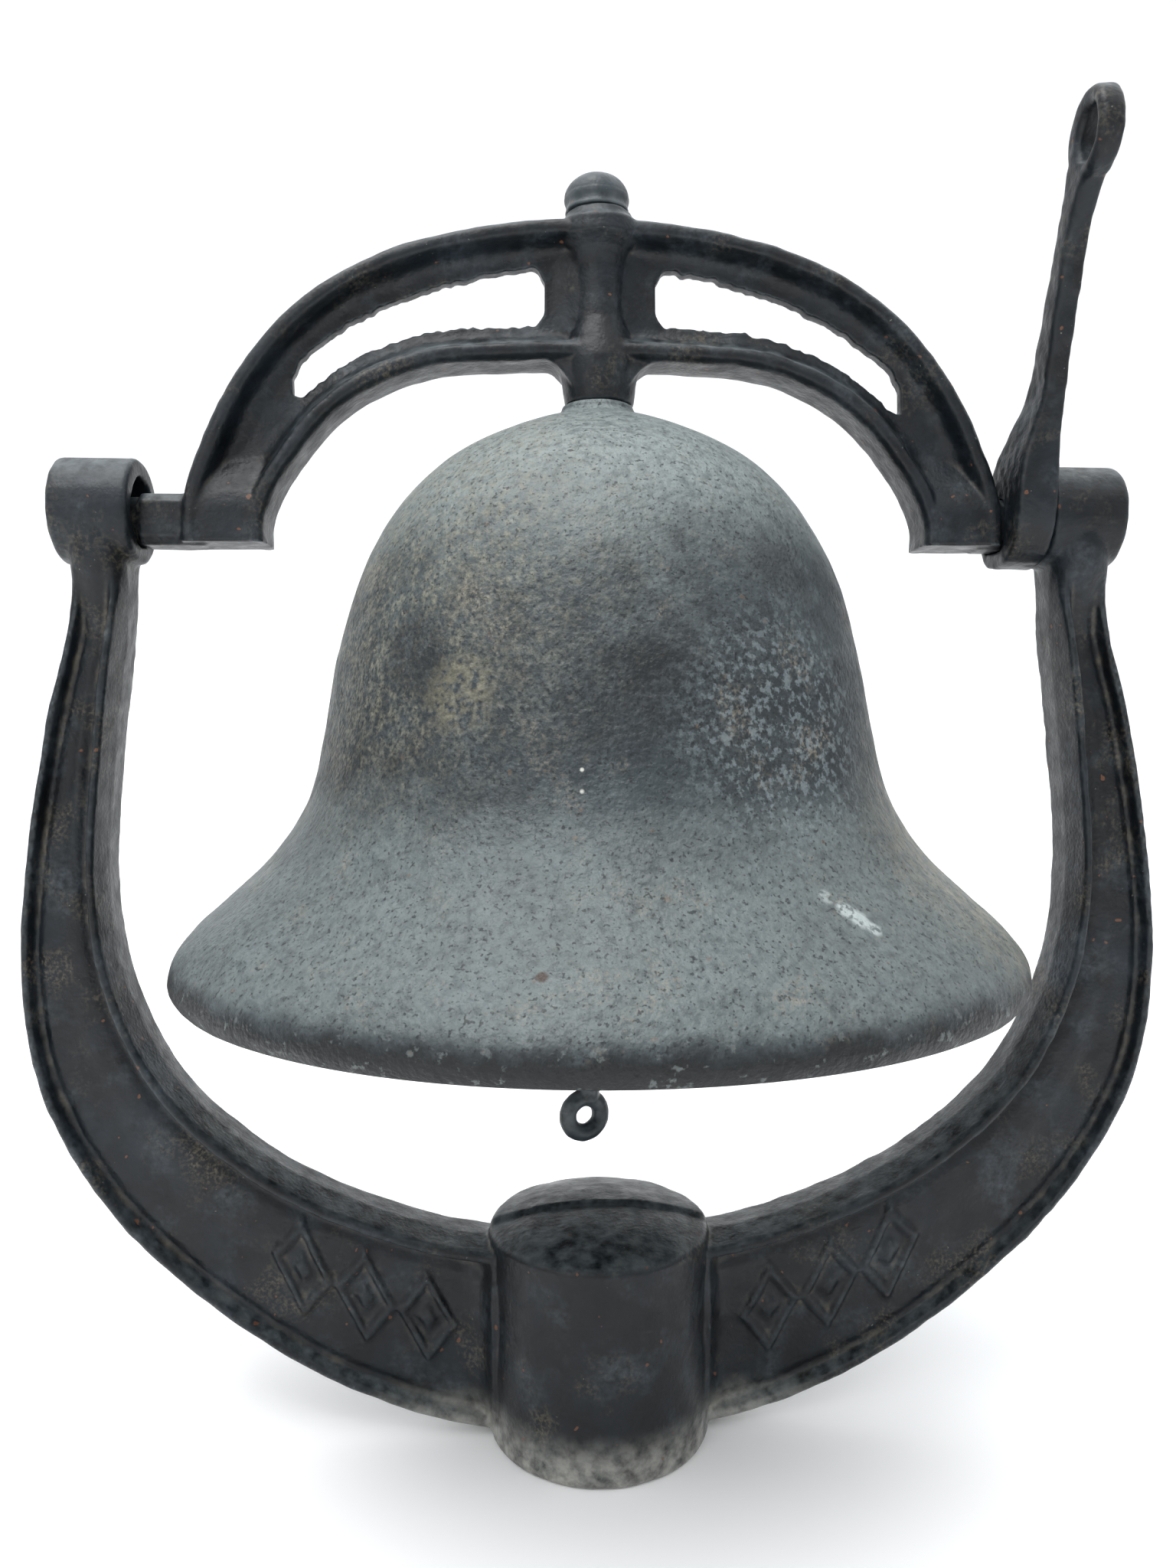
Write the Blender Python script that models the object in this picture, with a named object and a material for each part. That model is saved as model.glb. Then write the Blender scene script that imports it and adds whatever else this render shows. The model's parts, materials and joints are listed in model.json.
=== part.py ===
"""A cast-iron yard dinner bell on a post-top bracket, in metres, +Z up.

The origin is the centre of the flat inside the bracket's socket that rests on
top of the post. X runs along the swing axis, with the crank on the +X side,
and -Y is the front. The yoke, bell, bolt, nut and crank swing about the yoke
journals; the clapper swings on its pin inside the bell.
"""

import bmesh
import bpy
import numpy as np
from math import cos, pi, radians, sin
from mathutils import Matrix, Vector

# ---------------------------------------------------------------- driving sizes
GAP = 0.0003  # clearance kept between touching pieces
CUT = 0.010  # how far a cutting form runs past the piece it cuts

# bell
MOUTH_RADIUS = 0.2795
LIP_RADIUS = 0.2745  # at the very bottom edge
LIP_HEIGHT = 0.009  # of the widest point above the bottom edge
WAIST_RADIUS = 0.1814
WAIST_HEIGHT = 0.162
SHOULDER_RADIUS = 0.1500
SHOULDER_HEIGHT = 0.280
BELL_HEIGHT = 0.3797  # bottom edge to crown seat
CROWN_RADIUS = 0.0235  # flat seat under the yoke
BELL_WALL = 0.0072
SOUND_BOW = 0.0125  # thickness of the wall where the clapper strikes
CROWN_THICKNESS = 0.014

# post socket
SOCKET_RADIUS = 0.0759
SOCKET_WALL = 0.012
SOCKET_DEPTH = 0.1329  # post seat to socket rim
SOCKET_RIDGE = 0.023  # top of the closed end above the post seat
SOCKET_CROWN = 0.0125  # how far the closed end falls from its middle to its edge
SOCKET_EDGE = 0.003  # rounding of the socket's outer corners

# bracket arms
SIDE_CLEARANCE = 0.0484  # bell mouth to the arms
ARM_WIDTH = 0.0555  # where the frame is widest
WEB_DROP = 0.128  # outer edge of the frame below the post seat
FLANGE_DEPTH = 0.054
FLANGE_THICKNESS = 0.007
FLANGE_DRAFT = 0.0023
BEAD_DEPTH = 0.030
BEAD_WIDTH = 0.009
WEB_THICKNESS = 0.014
BOSS_RADIUS = 0.0345
BOSS_LENGTH = 0.051
BOSS_INSET = 0.0266  # boss face inward of the arm
BORE_RADIUS = 0.023

# yoke
JOURNAL_RADIUS = 0.0165
JOURNAL_SETBACK = 0.005  # journal end inside the boss end
SEAT_WIDTH = 0.0340  # across the flats of the square crank seat
SEAT_CHAMFER = 0.006
SEAT_LENGTH = 0.0273
SEAT_PLAY = 0.0015  # seat end to boss face
FOOT_LENGTH = 0.051  # along the axis, from the seat inward
FOOT_HEIGHT = 0.036
YOKE_RISE = 0.1932  # top of the arch above the swing axis
ARCH_RISE = 0.1057  # underside of the arch above the swing axis
CROWN_RISE = 0.0782  # lower end of the yoke's neck above the swing axis
YOKE_DEPTH = 0.042
YOKE_FLANGE = 0.013
YOKE_WEB = 0.009
HUB_RADIUS = 0.0235
HUB_RISE = 0.0110  # hub top above the arch
SKIRT_RADIUS = 0.0265
WINDOW_START = 0.037
WINDOW_END = 0.204
WINDOW_TOP_MARGIN = 0.0255  # arch top to window, at the hub
WINDOW_BOTTOM_MARGIN = 0.0250  # window to arch underside, at the hub

# bolt, washer and nut
BOLT_RADIUS = 0.0095
NUT_RADIUS = 0.0215
NUT_HEIGHT = 0.0270
NUT_WALL = 0.008  # closed end over the bolt
WASHER_RADIUS = 0.024
WASHER_THICKNESS = 0.005
COLLAR_RADIUS = 0.0165
COLLAR_THICKNESS = 0.006
CLEVIS_WIDTH = 0.030
CLEVIS_DEPTH = 0.024
CLEVIS_LENGTH = 0.036
SLOT_WIDTH = 0.011

# clapper and its pin
PIN_RADIUS = 0.005
PIN_HEAD_RADIUS = 0.0085
PIN_HEAD = 0.004
PIN_SPARE = 0.009  # pin beyond its washer
PIN_WASHER_RADIUS = 0.010
PIN_WASHER = 0.002
SPLIT_RADIUS = 0.0012
SPLIT_LENGTH = 0.017
TANG_WIDTH = 0.024
STEM_RADIUS = 0.009
BALL_RADIUS = 0.036
BALL_HEIGHT = 0.015  # ball centre above the bell's bottom edge
TAIL_RADIUS = 0.0065
TAIL_DROP = 0.1205  # end of the clapper's eye below the bell's bottom edge
TAIL_LEAN = 0.010  # the eye sits this far off the middle
EYE_RING_RADIUS = 0.0122
EYE_WIRE_RADIUS = 0.0055
SWING_ROOM = 0.0465  # clapper's eye to socket ridge

# crank
CRANK_LENGTH = 0.238  # swing axis to the middle of the rope eye
CRANK_LEAN = radians(23)  # forward of upright
CRANK_HUB_RADIUS = 0.028
CRANK_PLAY = 0.0018  # hub to boss face
HUB_SWELL = 0.0095  # the hub reaches this much further out at the front than at the back
LEVER_WIDTH = 0.0155
LEVER_THICKNESS = 0.013
THIN_FROM, THIN_TO = 0.036, 0.092  # the lever thins between these distances from the swing axis
EYE_HALF_WIDTH, EYE_HALF_LENGTH = 0.0205, 0.0240
EYE_OFFSET = 0.007  # forward of the lever's centre line
HOLE_HALF_WIDTH, HOLE_HALF_LENGTH = 0.0115, 0.0160
HOLE_OFFSET = 0.010

# mesh fineness
TURN_STEPS = 40
SMALL_STEPS = 24
ARM_STATIONS = 27  # from the middle of the frame to the end of one arm
YOKE_STATIONS = 23

# ---------------------------------------------------------------- derived places
AXIS_Z = SOCKET_RIDGE + SWING_ROOM + TAIL_DROP + BELL_HEIGHT - CROWN_RISE
PIVOT_Z = AXIS_Z + BORE_RADIUS - JOURNAL_RADIUS - GAP
CROWN_Z = AXIS_Z + CROWN_RISE - GAP
RIM_Z = CROWN_Z - BELL_HEIGHT
ARM_INNER = MOUTH_RADIUS + SIDE_CLEARANCE
ARM_OUTER = ARM_INNER + ARM_WIDTH
BOSS_FACE = ARM_INNER - BOSS_INSET
BOSS_END = BOSS_FACE + BOSS_LENGTH
SEAT_END = BOSS_FACE - SEAT_PLAY
FOOT_END = SEAT_END - SEAT_LENGTH
FOOT_INNER = FOOT_END - FOOT_LENGTH
HUB_TOP = AXIS_Z + YOKE_RISE + HUB_RISE
BELL_TOP_INSIDE = CROWN_Z - CROWN_THICKNESS
WASHER_Z = BELL_TOP_INSIDE - GAP
COLLAR_Z = WASHER_Z - WASHER_THICKNESS - GAP
CLEVIS_TOP = COLLAR_Z - COLLAR_THICKNESS
PIN_Z = CLEVIS_TOP - CLEVIS_LENGTH + CLEVIS_DEPTH / 2
BALL_Z = RIM_Z + BALL_HEIGHT
EYE_Z = RIM_Z - TAIL_DROP + EYE_RING_RADIUS + EYE_WIRE_RADIUS


# ---------------------------------------------------------------- shared helpers
def clear_scene():
    for obj in list(bpy.data.objects):
        bpy.data.objects.remove(obj, do_unlink=True)


def linear(channel):
    return channel / 12.92 if channel <= 0.04045 else ((channel + 0.055) / 1.055) ** 2.4


def make_material(name, hex_colour, roughness, metallic):
    material = bpy.data.materials.new(name)
    material.use_nodes = True
    shader = material.node_tree.nodes["Principled BSDF"]
    rgb = [linear(int(hex_colour[i:i + 2], 16) / 255) for i in (0, 2, 4)]
    shader.inputs["Base Color"].default_value = (*rgb, 1.0)
    shader.inputs["Roughness"].default_value = roughness
    shader.inputs["Metallic"].default_value = metallic
    return material


def add_object(name, bm, material):
    """Puts a bmesh in the scene as one smooth-shaded object with sharp edges kept."""
    bmesh.ops.recalc_face_normals(bm, faces=bm.faces)
    mesh = bpy.data.meshes.new(name)
    bm.to_mesh(mesh)
    bm.free()
    mesh.shade_smooth()
    mesh.set_sharp_from_angle(angle=radians(35))
    obj = bpy.data.objects.new(name, mesh)
    bpy.context.scene.collection.objects.link(obj)
    if material:
        obj.data.materials.append(material)
    return obj


def add_helper(name, bm):
    obj = add_object(name, bm, None)
    obj.hide_render = True
    obj.display_type = "WIRE"
    return obj


def combine(obj, helper, operation):
    modifier = obj.modifiers.new(helper.name, "BOOLEAN")
    modifier.operation = operation
    modifier.solver = "EXACT"
    modifier.object = helper


def smooth_curve(points, count):
    """Points evenly spaced along a cubic curve through the given points.

    The tangent at each point is that of the parabola through it and its two neighbours.
    """
    points = np.array(points, float)
    gaps = np.diff(points, axis=0)
    span = np.linalg.norm(gaps, axis=1)[:, None]
    slope = gaps / span
    middle = (slope[:-1] * span[1:] + slope[1:] * span[:-1]) / (span[:-1] + span[1:])
    tangent = np.vstack([2 * slope[:1] - middle[:1], middle, 2 * slope[-1:] - middle[-1:]])
    t = np.linspace(0, 1, 24, endpoint=False)[None, :, None]
    start, end = points[:-1, None], points[1:, None]
    leave, arrive = (span * tangent[:-1])[:, None], (span * tangent[1:])[:, None]
    spans = ((2 * t**3 - 3 * t**2 + 1) * start + (t**3 - 2 * t**2 + t) * leave
             + (3 * t**2 - 2 * t**3) * end + (t**3 - t**2) * arrive)
    dense = np.vstack([spans.reshape(-1, points.shape[1]), points[-1:]])
    length = np.r_[0, np.cumsum(np.linalg.norm(np.diff(dense, axis=0), axis=1))]
    even = np.linspace(0, length[-1], count)
    return np.stack([np.interp(even, length, column) for column in dense.T], axis=1)


def skin(rings, close_ends):
    """A bmesh through rings of equal length, closed around, and capped or joined end to end."""
    bm = bmesh.new()
    loops = [[bm.verts.new(point) for point in ring] for ring in rings]
    pairs = list(zip(loops, loops[1:]))
    if not close_ends:
        pairs.append((loops[-1], loops[0]))
    for first, second in pairs:
        for i in range(len(first)):
            j = (i + 1) % len(first)
            bm.faces.new((first[i], first[j], second[j], second[i]))
    if close_ends:
        bm.faces.new(loops[0])
        bm.faces.new(loops[-1])
    return bm


def turned(profile, steps, on_axis):
    """Turns an (r, z) profile about Z: a ring of section, or a solid whose ends lie on the axis."""
    profile = np.array(profile, float)
    angles = np.linspace(0, 2 * pi, steps, endpoint=False)
    body = profile[1:-1] if on_axis else profile
    rings = [[(r * cos(a), r * sin(a), z) for a in angles] for r, z in body]
    if not on_axis:
        return skin(rings, close_ends=False)
    bm = skin(rings, close_ends=True)
    bm.verts.ensure_lookup_table()
    caps = [face for face in bm.faces if len(face.verts) == steps]
    tips = (profile[0][1], profile[-1][1])
    for face, z in zip(sorted(caps, key=lambda f: abs(f.calc_center_median().z - tips[0])), tips):
        centre = bmesh.ops.poke(bm, faces=[face])["verts"][0]
        centre.co = (0, 0, z)
    return bm


def cylinder(radius, start, end, steps=SMALL_STEPS):
    """A closed cylinder between two points."""
    start, end = Vector(start), Vector(end)
    along = end - start
    turn = along.to_track_quat("Z", "Y").to_matrix().to_4x4()
    bm = bmesh.new()
    bmesh.ops.create_cone(bm, cap_ends=True, segments=steps, radius1=radius, radius2=radius,
                          depth=along.length, matrix=Matrix.Translation((start + end) / 2) @ turn)
    return bm


def block(low, high, bevel=0.0):
    """A box between two corners, its edges rounded where a bevel is given."""
    low, high = Vector(low), Vector(high)
    bm = bmesh.new()
    bmesh.ops.create_cube(bm, size=1.0)
    bmesh.ops.scale(bm, vec=high - low, verts=bm.verts)
    bmesh.ops.translate(bm, vec=(low + high) / 2, verts=bm.verts)
    if bevel:
        bmesh.ops.bevel(bm, geom=bm.edges[:], offset=bevel, segments=2, profile=0.5,
                        affect="EDGES")
    return bm


def prism(outline, half_depth):
    """An (x, z) outline extruded through Y."""
    return skin([[(x, y, z) for x, z in outline] for y in (-half_depth, half_depth)], True)


def whole_curve(half, count):
    """A half outline from the middle outwards, mirrored to -X and made one smooth curve."""
    half = np.array(half)
    return smooth_curve(np.vstack([half[:0:-1] * (-1, 1), half]), 2 * count - 1)


# ---------------------------------------------------------------- bracket
def arm_height(share):
    """Height on the frame: up to the pivot for a positive share, down the web for a negative."""
    return share * (PIVOT_Z if share > 0 else WEB_DROP)


def inner_outline():
    """Inner edge of the frame as (share of the inner half width, share of the height)."""
    shares = ((0, 0.004), (0.23, 0.008), (0.465, 0.050), (0.688, 0.124), (0.883, 0.246),
              (0.986, 0.412), (1.0, 0.503), (0.984, 0.689), (0.948, 0.898), (0.942, 1.0))
    return [(x * ARM_INNER, arm_height(z)) for x, z in shares]


def outer_outline():
    """Outer edge of the frame as (share of the outer half width, share of the height)."""
    shares = ((0, -1.0), (0.198, -0.992), (0.441, -0.754), (0.677, -0.297), (0.874, 0.082),
              (0.968, 0.221), (1.0, 0.385), (0.991, 0.502), (0.950, 0.711), (0.897, 0.905),
              (0.893, 1.0))
    return [(x * ARM_OUTER, arm_height(z)) for x, z in shares]


def arm_section(width):
    """Half section as (distance out from the inner edge, depth), inner flange to outer bead."""
    web = WEB_THICKNESS / 2
    cove = min(FLANGE_DRAFT + FLANGE_THICKNESS + 0.010, width / 2)
    bead = max(width - BEAD_WIDTH - 0.003, width / 2)
    back = min(FLANGE_DRAFT + FLANGE_THICKNESS, width / 2)
    return ((0, 0), (FLANGE_DRAFT, FLANGE_DEPTH / 2), (back, FLANGE_DEPTH / 2),
            (back + 0.3 * (cove - back), (web + FLANGE_DEPTH / 2) / 2.2), (cove, web),
            (bead, web), (max(bead, width - BEAD_WIDTH), 0.87 * BEAD_DEPTH / 2),
            (width - BEAD_WIDTH / 2, BEAD_DEPTH / 2), (width - 0.1 * BEAD_WIDTH, BEAD_DEPTH / 4),
            (width, 0))


def section_ring(inner, outer, section):
    """The section placed across a frame, from its inner point towards its outer point."""
    across = outer - inner
    width = np.linalg.norm(across)
    across = across / width
    half = section(width)
    whole = [(n, -y) for n, y in half] + [(n, y) for n, y in half[-2:0:-1]]
    return [(inner[0] + n * across[0], y, inner[1] + n * across[1]) for n, y in whole]


def frame_body(inner, outer, section):
    return skin([section_ring(i, o, section) for i, o in zip(inner, outer)], True)


def socket_profile():
    """Outer profile of the post socket, from the ridge down its side to its rim."""
    shares = np.linspace(0, 1, 5)
    dome = [(SOCKET_RADIUS * s, SOCKET_RIDGE - SOCKET_CROWN * s**2) for s in shares]
    inner_radius = SOCKET_RADIUS - SOCKET_EDGE
    shoulder = dome[-1][1]
    dome[-1] = (inner_radius, shoulder)
    return dome + [(SOCKET_RADIUS, shoulder - SOCKET_EDGE),
                   (SOCKET_RADIUS, -SOCKET_DEPTH + SOCKET_EDGE),
                   (inner_radius, -SOCKET_DEPTH), (0, -SOCKET_DEPTH)]


def build_bracket(material):
    inner = whole_curve(inner_outline(), ARM_STATIONS)
    outer = whole_curve(outer_outline(), ARM_STATIONS)
    bracket = add_object("bracket", frame_body(inner, outer, arm_section), material)
    socket = turned(socket_profile(), TURN_STEPS, True)
    combine(bracket, add_helper("socket_form", socket), "UNION")
    for side, label in ((-1, "left"), (1, "right")):
        form = cylinder(BOSS_RADIUS, (side * BOSS_FACE, 0, PIVOT_Z),
                        (side * BOSS_END, 0, PIVOT_Z), 32)
        combine(bracket, add_helper(f"boss_form_{label}", form), "UNION")
        bore = cylinder(BORE_RADIUS, (side * (BOSS_FACE - CUT), 0, PIVOT_Z),
                        (side * (BOSS_END + CUT), 0, PIVOT_Z))
        combine(bracket, add_helper(f"bore_{label}", bore), "DIFFERENCE")
    cavity = cylinder(SOCKET_RADIUS - SOCKET_WALL, (0, 0, -SOCKET_DEPTH - CUT), (0, 0, 0),
                      TURN_STEPS)
    combine(bracket, add_helper("post_cavity", cavity), "DIFFERENCE")
    return bracket


# ---------------------------------------------------------------- yoke
def yoke_outer():
    """Top of the arch as (share of the foot's end, share of the arch's rise)."""
    shares = ((0, 1.0), (0.276, 0.966), (0.424, 0.920), (0.583, 0.834), (0.735, 0.689),
              (0.860, 0.485), (0.952, 0.234), (0.990, 0.08), (0.995, 0.0))
    return [(x * FOOT_END, AXIS_Z + z * YOKE_RISE) for x, z in shares]


def yoke_inner():
    """Underside of the arch as (share of the foot's inner end, share of the underside's rise)."""
    shares = ((0, 1.0), (0.27, 0.992), (0.535, 0.935), (0.77, 0.693), (0.90, 0.40),
              (0.985, 0.10), (1.0, 0.0))
    return [(x * FOOT_INNER, AXIS_Z + z * ARCH_RISE) for x, z in shares]


def yoke_section(width):
    """Half section of the yoke: two rounded flanges joined by a thin web."""
    web = YOKE_WEB / 2
    deep = YOKE_DEPTH / 2
    near = min(YOKE_FLANGE, 0.42 * width)
    soft = 0.003
    return ((0, 0), (0.0, deep - soft), (soft, deep), (near - soft, deep), (near, deep - soft),
            (near + 0.003, web), (width - near - 0.003, web), (width - near, deep - soft),
            (width - near + soft, deep), (width - soft, deep), (width, deep - soft), (width, 0))


def window_outline(side):
    """One window: its long edges follow the arch, and its ends are round."""
    steps = np.linspace(0, 1, 9)
    x = WINDOW_START + (WINDOW_END - WINDOW_START) * steps
    top = curve_height(yoke_outer(), x) - WINDOW_TOP_MARGIN - 0.010 * steps
    bottom = np.minimum(curve_height(yoke_inner(), x) + WINDOW_BOTTOM_MARGIN, top - 0.012)
    corner = 0.005
    upper = list(zip(x, top))
    lower = list(zip(x, bottom))[::-1]
    upper[0] = (x[0] + corner, top[0])
    lower[-1] = (x[0] + corner, bottom[0])
    start = [(x[0], bottom[0] + corner), (x[0], top[0] - corner)]
    return [(side * px, pz) for px, pz in upper + lower + start]


def curve_height(points, x):
    """Height of a smooth outline above each x."""
    dense = smooth_curve(points, 160)
    order = np.argsort(dense[:, 0])
    return np.interp(x, dense[order, 0], dense[order, 1])


def hub_profile():
    """The hub from its skirted top down to the neck that meets the bell."""
    arch_top = AXIS_Z + YOKE_RISE
    return ((0, HUB_TOP), (HUB_RADIUS, HUB_TOP), (HUB_RADIUS + 0.002, HUB_TOP - 0.004),
            (SKIRT_RADIUS, arch_top - 0.002), (HUB_RADIUS, arch_top - 0.012),
            (HUB_RADIUS, AXIS_Z + CROWN_RISE), (0, AXIS_Z + CROWN_RISE))


def seat_outline():
    half = SEAT_WIDTH / 2
    flat = half - SEAT_CHAMFER
    corners = [(half, -flat), (half, flat), (flat, half), (-flat, half), (-half, flat),
               (-half, -flat), (-flat, -half), (flat, -half)]
    return corners


def bar_along_x(outline, start, end, centre_z):
    """A (y, z) outline extruded along X."""
    return skin([[(x, y, centre_z + z) for y, z in outline] for x in (start, end)], True)


def build_yoke(material):
    inner = whole_curve(yoke_inner(), YOKE_STATIONS)
    outer = whole_curve(yoke_outer(), YOKE_STATIONS)
    yoke = add_object("yoke", frame_body(inner, outer, yoke_section), material)
    for side, label in ((-1, "left"), (1, "right")):
        window = prism(window_outline(side), YOKE_DEPTH)
        combine(yoke, add_helper(f"window_{label}", window), "DIFFERENCE")
    combine(yoke, add_helper("hub_form", turned(hub_profile(), 32, True)), "UNION")
    bottom = AXIS_Z - SEAT_WIDTH / 2
    for side, label in ((-1, "left"), (1, "right")):
        ends = sorted((side * (FOOT_INNER - 0.0006), side * FOOT_END))
        foot = block((ends[0], -YOKE_DEPTH / 2 + 0.001, bottom),
                     (ends[1], YOKE_DEPTH / 2 - 0.001, bottom + FOOT_HEIGHT), 0.006)
        combine(yoke, add_helper(f"foot_form_{label}", foot), "UNION")
        seat = bar_along_x(seat_outline(), side * (FOOT_END - 0.015), side * SEAT_END, AXIS_Z)
        combine(yoke, add_helper(f"seat_form_{label}", seat), "UNION")
        journal = cylinder(JOURNAL_RADIUS, (side * (SEAT_END - 0.010), 0, AXIS_Z),
                           (side * (BOSS_END - JOURNAL_SETBACK), 0, AXIS_Z))
        combine(yoke, add_helper(f"journal_form_{label}", journal), "UNION")
    bore = cylinder(BOLT_RADIUS + GAP, (0, 0, AXIS_Z + CROWN_RISE - CUT), (0, 0, HUB_TOP + CUT))
    combine(yoke, add_helper("bolt_bore", bore), "DIFFERENCE")
    return yoke


# ---------------------------------------------------------------- bell
def bell_outer():
    """Outer profile from the crown seat down to the lip: dome, waist, then the flare."""
    flare = MOUTH_RADIUS - WAIST_RADIUS
    dome_top = BELL_HEIGHT - 0.010
    points = [(CROWN_RADIUS + 0.012, dome_top),
              (0.45 * SHOULDER_RADIUS, dome_top - 0.012),
              (0.69 * SHOULDER_RADIUS, dome_top - 0.032),
              (0.86 * SHOULDER_RADIUS, dome_top - 0.057), (SHOULDER_RADIUS, SHOULDER_HEIGHT),
              (WAIST_RADIUS - 0.009, WAIST_HEIGHT + 0.050), (WAIST_RADIUS, WAIST_HEIGHT),
              (WAIST_RADIUS + 0.110 * flare, 0.740 * WAIST_HEIGHT),
              (WAIST_RADIUS + 0.337 * flare, 0.522 * WAIST_HEIGHT),
              (WAIST_RADIUS + 0.640 * flare, 0.342 * WAIST_HEIGHT),
              (WAIST_RADIUS + 0.870 * flare, 0.215 * WAIST_HEIGHT),
              (MOUTH_RADIUS - 0.0022, 0.0200), (MOUTH_RADIUS, LIP_HEIGHT)]
    return smooth_curve(points, 24)


def bell_inner(outer):
    """The outer profile moved inwards along its normal, thicker towards the sound bow."""
    slope = np.gradient(outer, axis=0)
    normal = np.stack([slope[:, 1], -slope[:, 0]], axis=1)
    normal /= np.linalg.norm(normal, axis=1)[:, None]
    height = outer[:, 1:2] / WAIST_HEIGHT
    wall = BELL_WALL + (SOUND_BOW - BELL_WALL) * np.clip(1 - height, 0, 1)
    inside = outer + normal * wall
    return inside[(inside[:, 1] > LIP_HEIGHT) & (inside[:, 0] > WASHER_RADIUS + 0.003)]


def bell_section():
    """Closed section of the bell, crown seat to lip outside, then back up inside to the bolt hole."""
    outer = bell_outer()
    inner = bell_inner(outer)[::-2]
    hole = BOLT_RADIUS + GAP
    ceiling = BELL_HEIGHT - CROWN_THICKNESS
    inner = [(r, min(z, ceiling - 0.0005)) for r, z in inner]
    lip = [(LIP_RADIUS + 0.0035, 0.0025), (LIP_RADIUS, 0), (LIP_RADIUS - SOUND_BOW * 0.6, 0)]
    seat = [(hole, BELL_HEIGHT), (CROWN_RADIUS, BELL_HEIGHT), (CROWN_RADIUS + 0.003, BELL_HEIGHT - 0.005)]
    crown = [(WASHER_RADIUS + 0.003, ceiling), (hole, ceiling)]
    section = seat + [tuple(p) for p in outer] + lip + inner + crown
    return [(r, RIM_Z + z) for r, z in section]


def build_bell(material):
    return add_object("bell", turned(bell_section(), TURN_STEPS, False), material)


# ---------------------------------------------------------------- bolt, washer and nut
def build_bolt(material):
    top = HUB_TOP + GAP + NUT_HEIGHT - NUT_WALL - GAP
    profile = [(0, top), (BOLT_RADIUS - 0.0015, top), (BOLT_RADIUS, top - 0.0015),
               (BOLT_RADIUS, COLLAR_Z), (COLLAR_RADIUS, COLLAR_Z),
               (COLLAR_RADIUS, CLEVIS_TOP - 0.002), (0, CLEVIS_TOP - 0.002)]
    bolt = add_object("bell_bolt", turned(profile, SMALL_STEPS, True), material)
    half = (CLEVIS_WIDTH / 2, CLEVIS_DEPTH / 2)
    low = CLEVIS_TOP - CLEVIS_LENGTH
    ears = block((-half[0], -half[1], low), (half[0], half[1], CLEVIS_TOP), 0.003)
    combine(bolt, add_helper("clevis_form", ears), "UNION")
    slot_top = PIN_Z + TANG_WIDTH / 2 + 0.002
    slot = block((-SLOT_WIDTH / 2, -CLEVIS_DEPTH, low - 0.01), (SLOT_WIDTH / 2, CLEVIS_DEPTH, slot_top))
    combine(bolt, add_helper("clevis_slot", slot), "DIFFERENCE")
    bore = cylinder(PIN_RADIUS + GAP, (-CLEVIS_WIDTH, 0, PIN_Z), (CLEVIS_WIDTH, 0, PIN_Z), 16)
    combine(bolt, add_helper("clevis_bore", bore), "DIFFERENCE")
    return bolt


def build_crown_washer(material):
    hole = BOLT_RADIUS + GAP
    low = WASHER_Z - WASHER_THICKNESS
    edge = 0.001
    section = ((hole, WASHER_Z), (WASHER_RADIUS, WASHER_Z), (WASHER_RADIUS, low + edge),
               (WASHER_RADIUS - edge, low), (hole, low))
    return add_object("crown_washer", turned(section, SMALL_STEPS, False), material)


def build_nut(material):
    """A domed cap nut: a collar, a bead and a round dome over a blind hole."""
    base = HUB_TOP + GAP
    collar = 0.0085
    dome = NUT_HEIGHT - collar - 0.003
    angles = np.linspace(pi / 2, 0.12, 7)
    cap = [(NUT_RADIUS * cos(a), base + collar + 0.003 + dome * sin(a)) for a in angles]
    cap[0] = (0, base + NUT_HEIGHT)
    hole = BOLT_RADIUS + GAP
    roof = base + NUT_HEIGHT - NUT_WALL
    profile = cap + [(NUT_RADIUS, base + collar + 0.001), (NUT_RADIUS - 0.0018, base + collar - 0.001),
                     (NUT_RADIUS - 0.0014, base), (hole, base), (hole, roof), (0, roof)]
    return add_object("crown_nut", turned(profile, SMALL_STEPS, True), material)


# ---------------------------------------------------------------- clapper and its pin
def clapper_profile():
    """Stem, ball and tail, from under the tang down to the eye."""
    top = PIN_Z - TANG_WIDTH / 2 - 0.004
    angles = np.linspace(radians(72), radians(-75), 10)
    ball = [(BALL_RADIUS * cos(a), BALL_Z + BALL_RADIUS * sin(a)) for a in angles]
    return [(0, top), (STEM_RADIUS, top), (STEM_RADIUS, BALL_Z + 0.12),
            (STEM_RADIUS + 0.001, BALL_Z + BALL_RADIUS + 0.006)] + ball + [
            (TAIL_RADIUS, BALL_Z - BALL_RADIUS - 0.004), (TAIL_RADIUS, tail_end()), (0, tail_end())]


def tail_end():
    return EYE_Z + EYE_RING_RADIUS


def lean_tail(bm):
    """Bends everything below the ball aside, by the square of its depth below the ball."""
    start = BALL_Z - BALL_RADIUS
    for vert in bm.verts:
        depth = max(0.0, start - vert.co.z) / (start - EYE_Z)
        vert.co.x -= TAIL_LEAN * min(depth, 1.0) ** 2
    return bm


def tail_eye():
    """A ring of round wire standing across the view, turned a little."""
    turns = np.linspace(0, 2 * pi, SMALL_STEPS, endpoint=False)
    wire = np.linspace(0, 2 * pi, 10, endpoint=False)
    rings = []
    for t in turns:
        reach = EYE_RING_RADIUS + EYE_WIRE_RADIUS * np.cos(wire)
        rings.append([(r * cos(t), EYE_WIRE_RADIUS * sin(w), r * sin(t)) for r, w in zip(reach, wire)])
    bm = skin(rings, False)
    place = Matrix.Translation((-TAIL_LEAN, 0, EYE_Z)) @ Matrix.Rotation(radians(20), 4, "Z")
    bmesh.ops.transform(bm, matrix=place, verts=bm.verts)
    return bm


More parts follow.
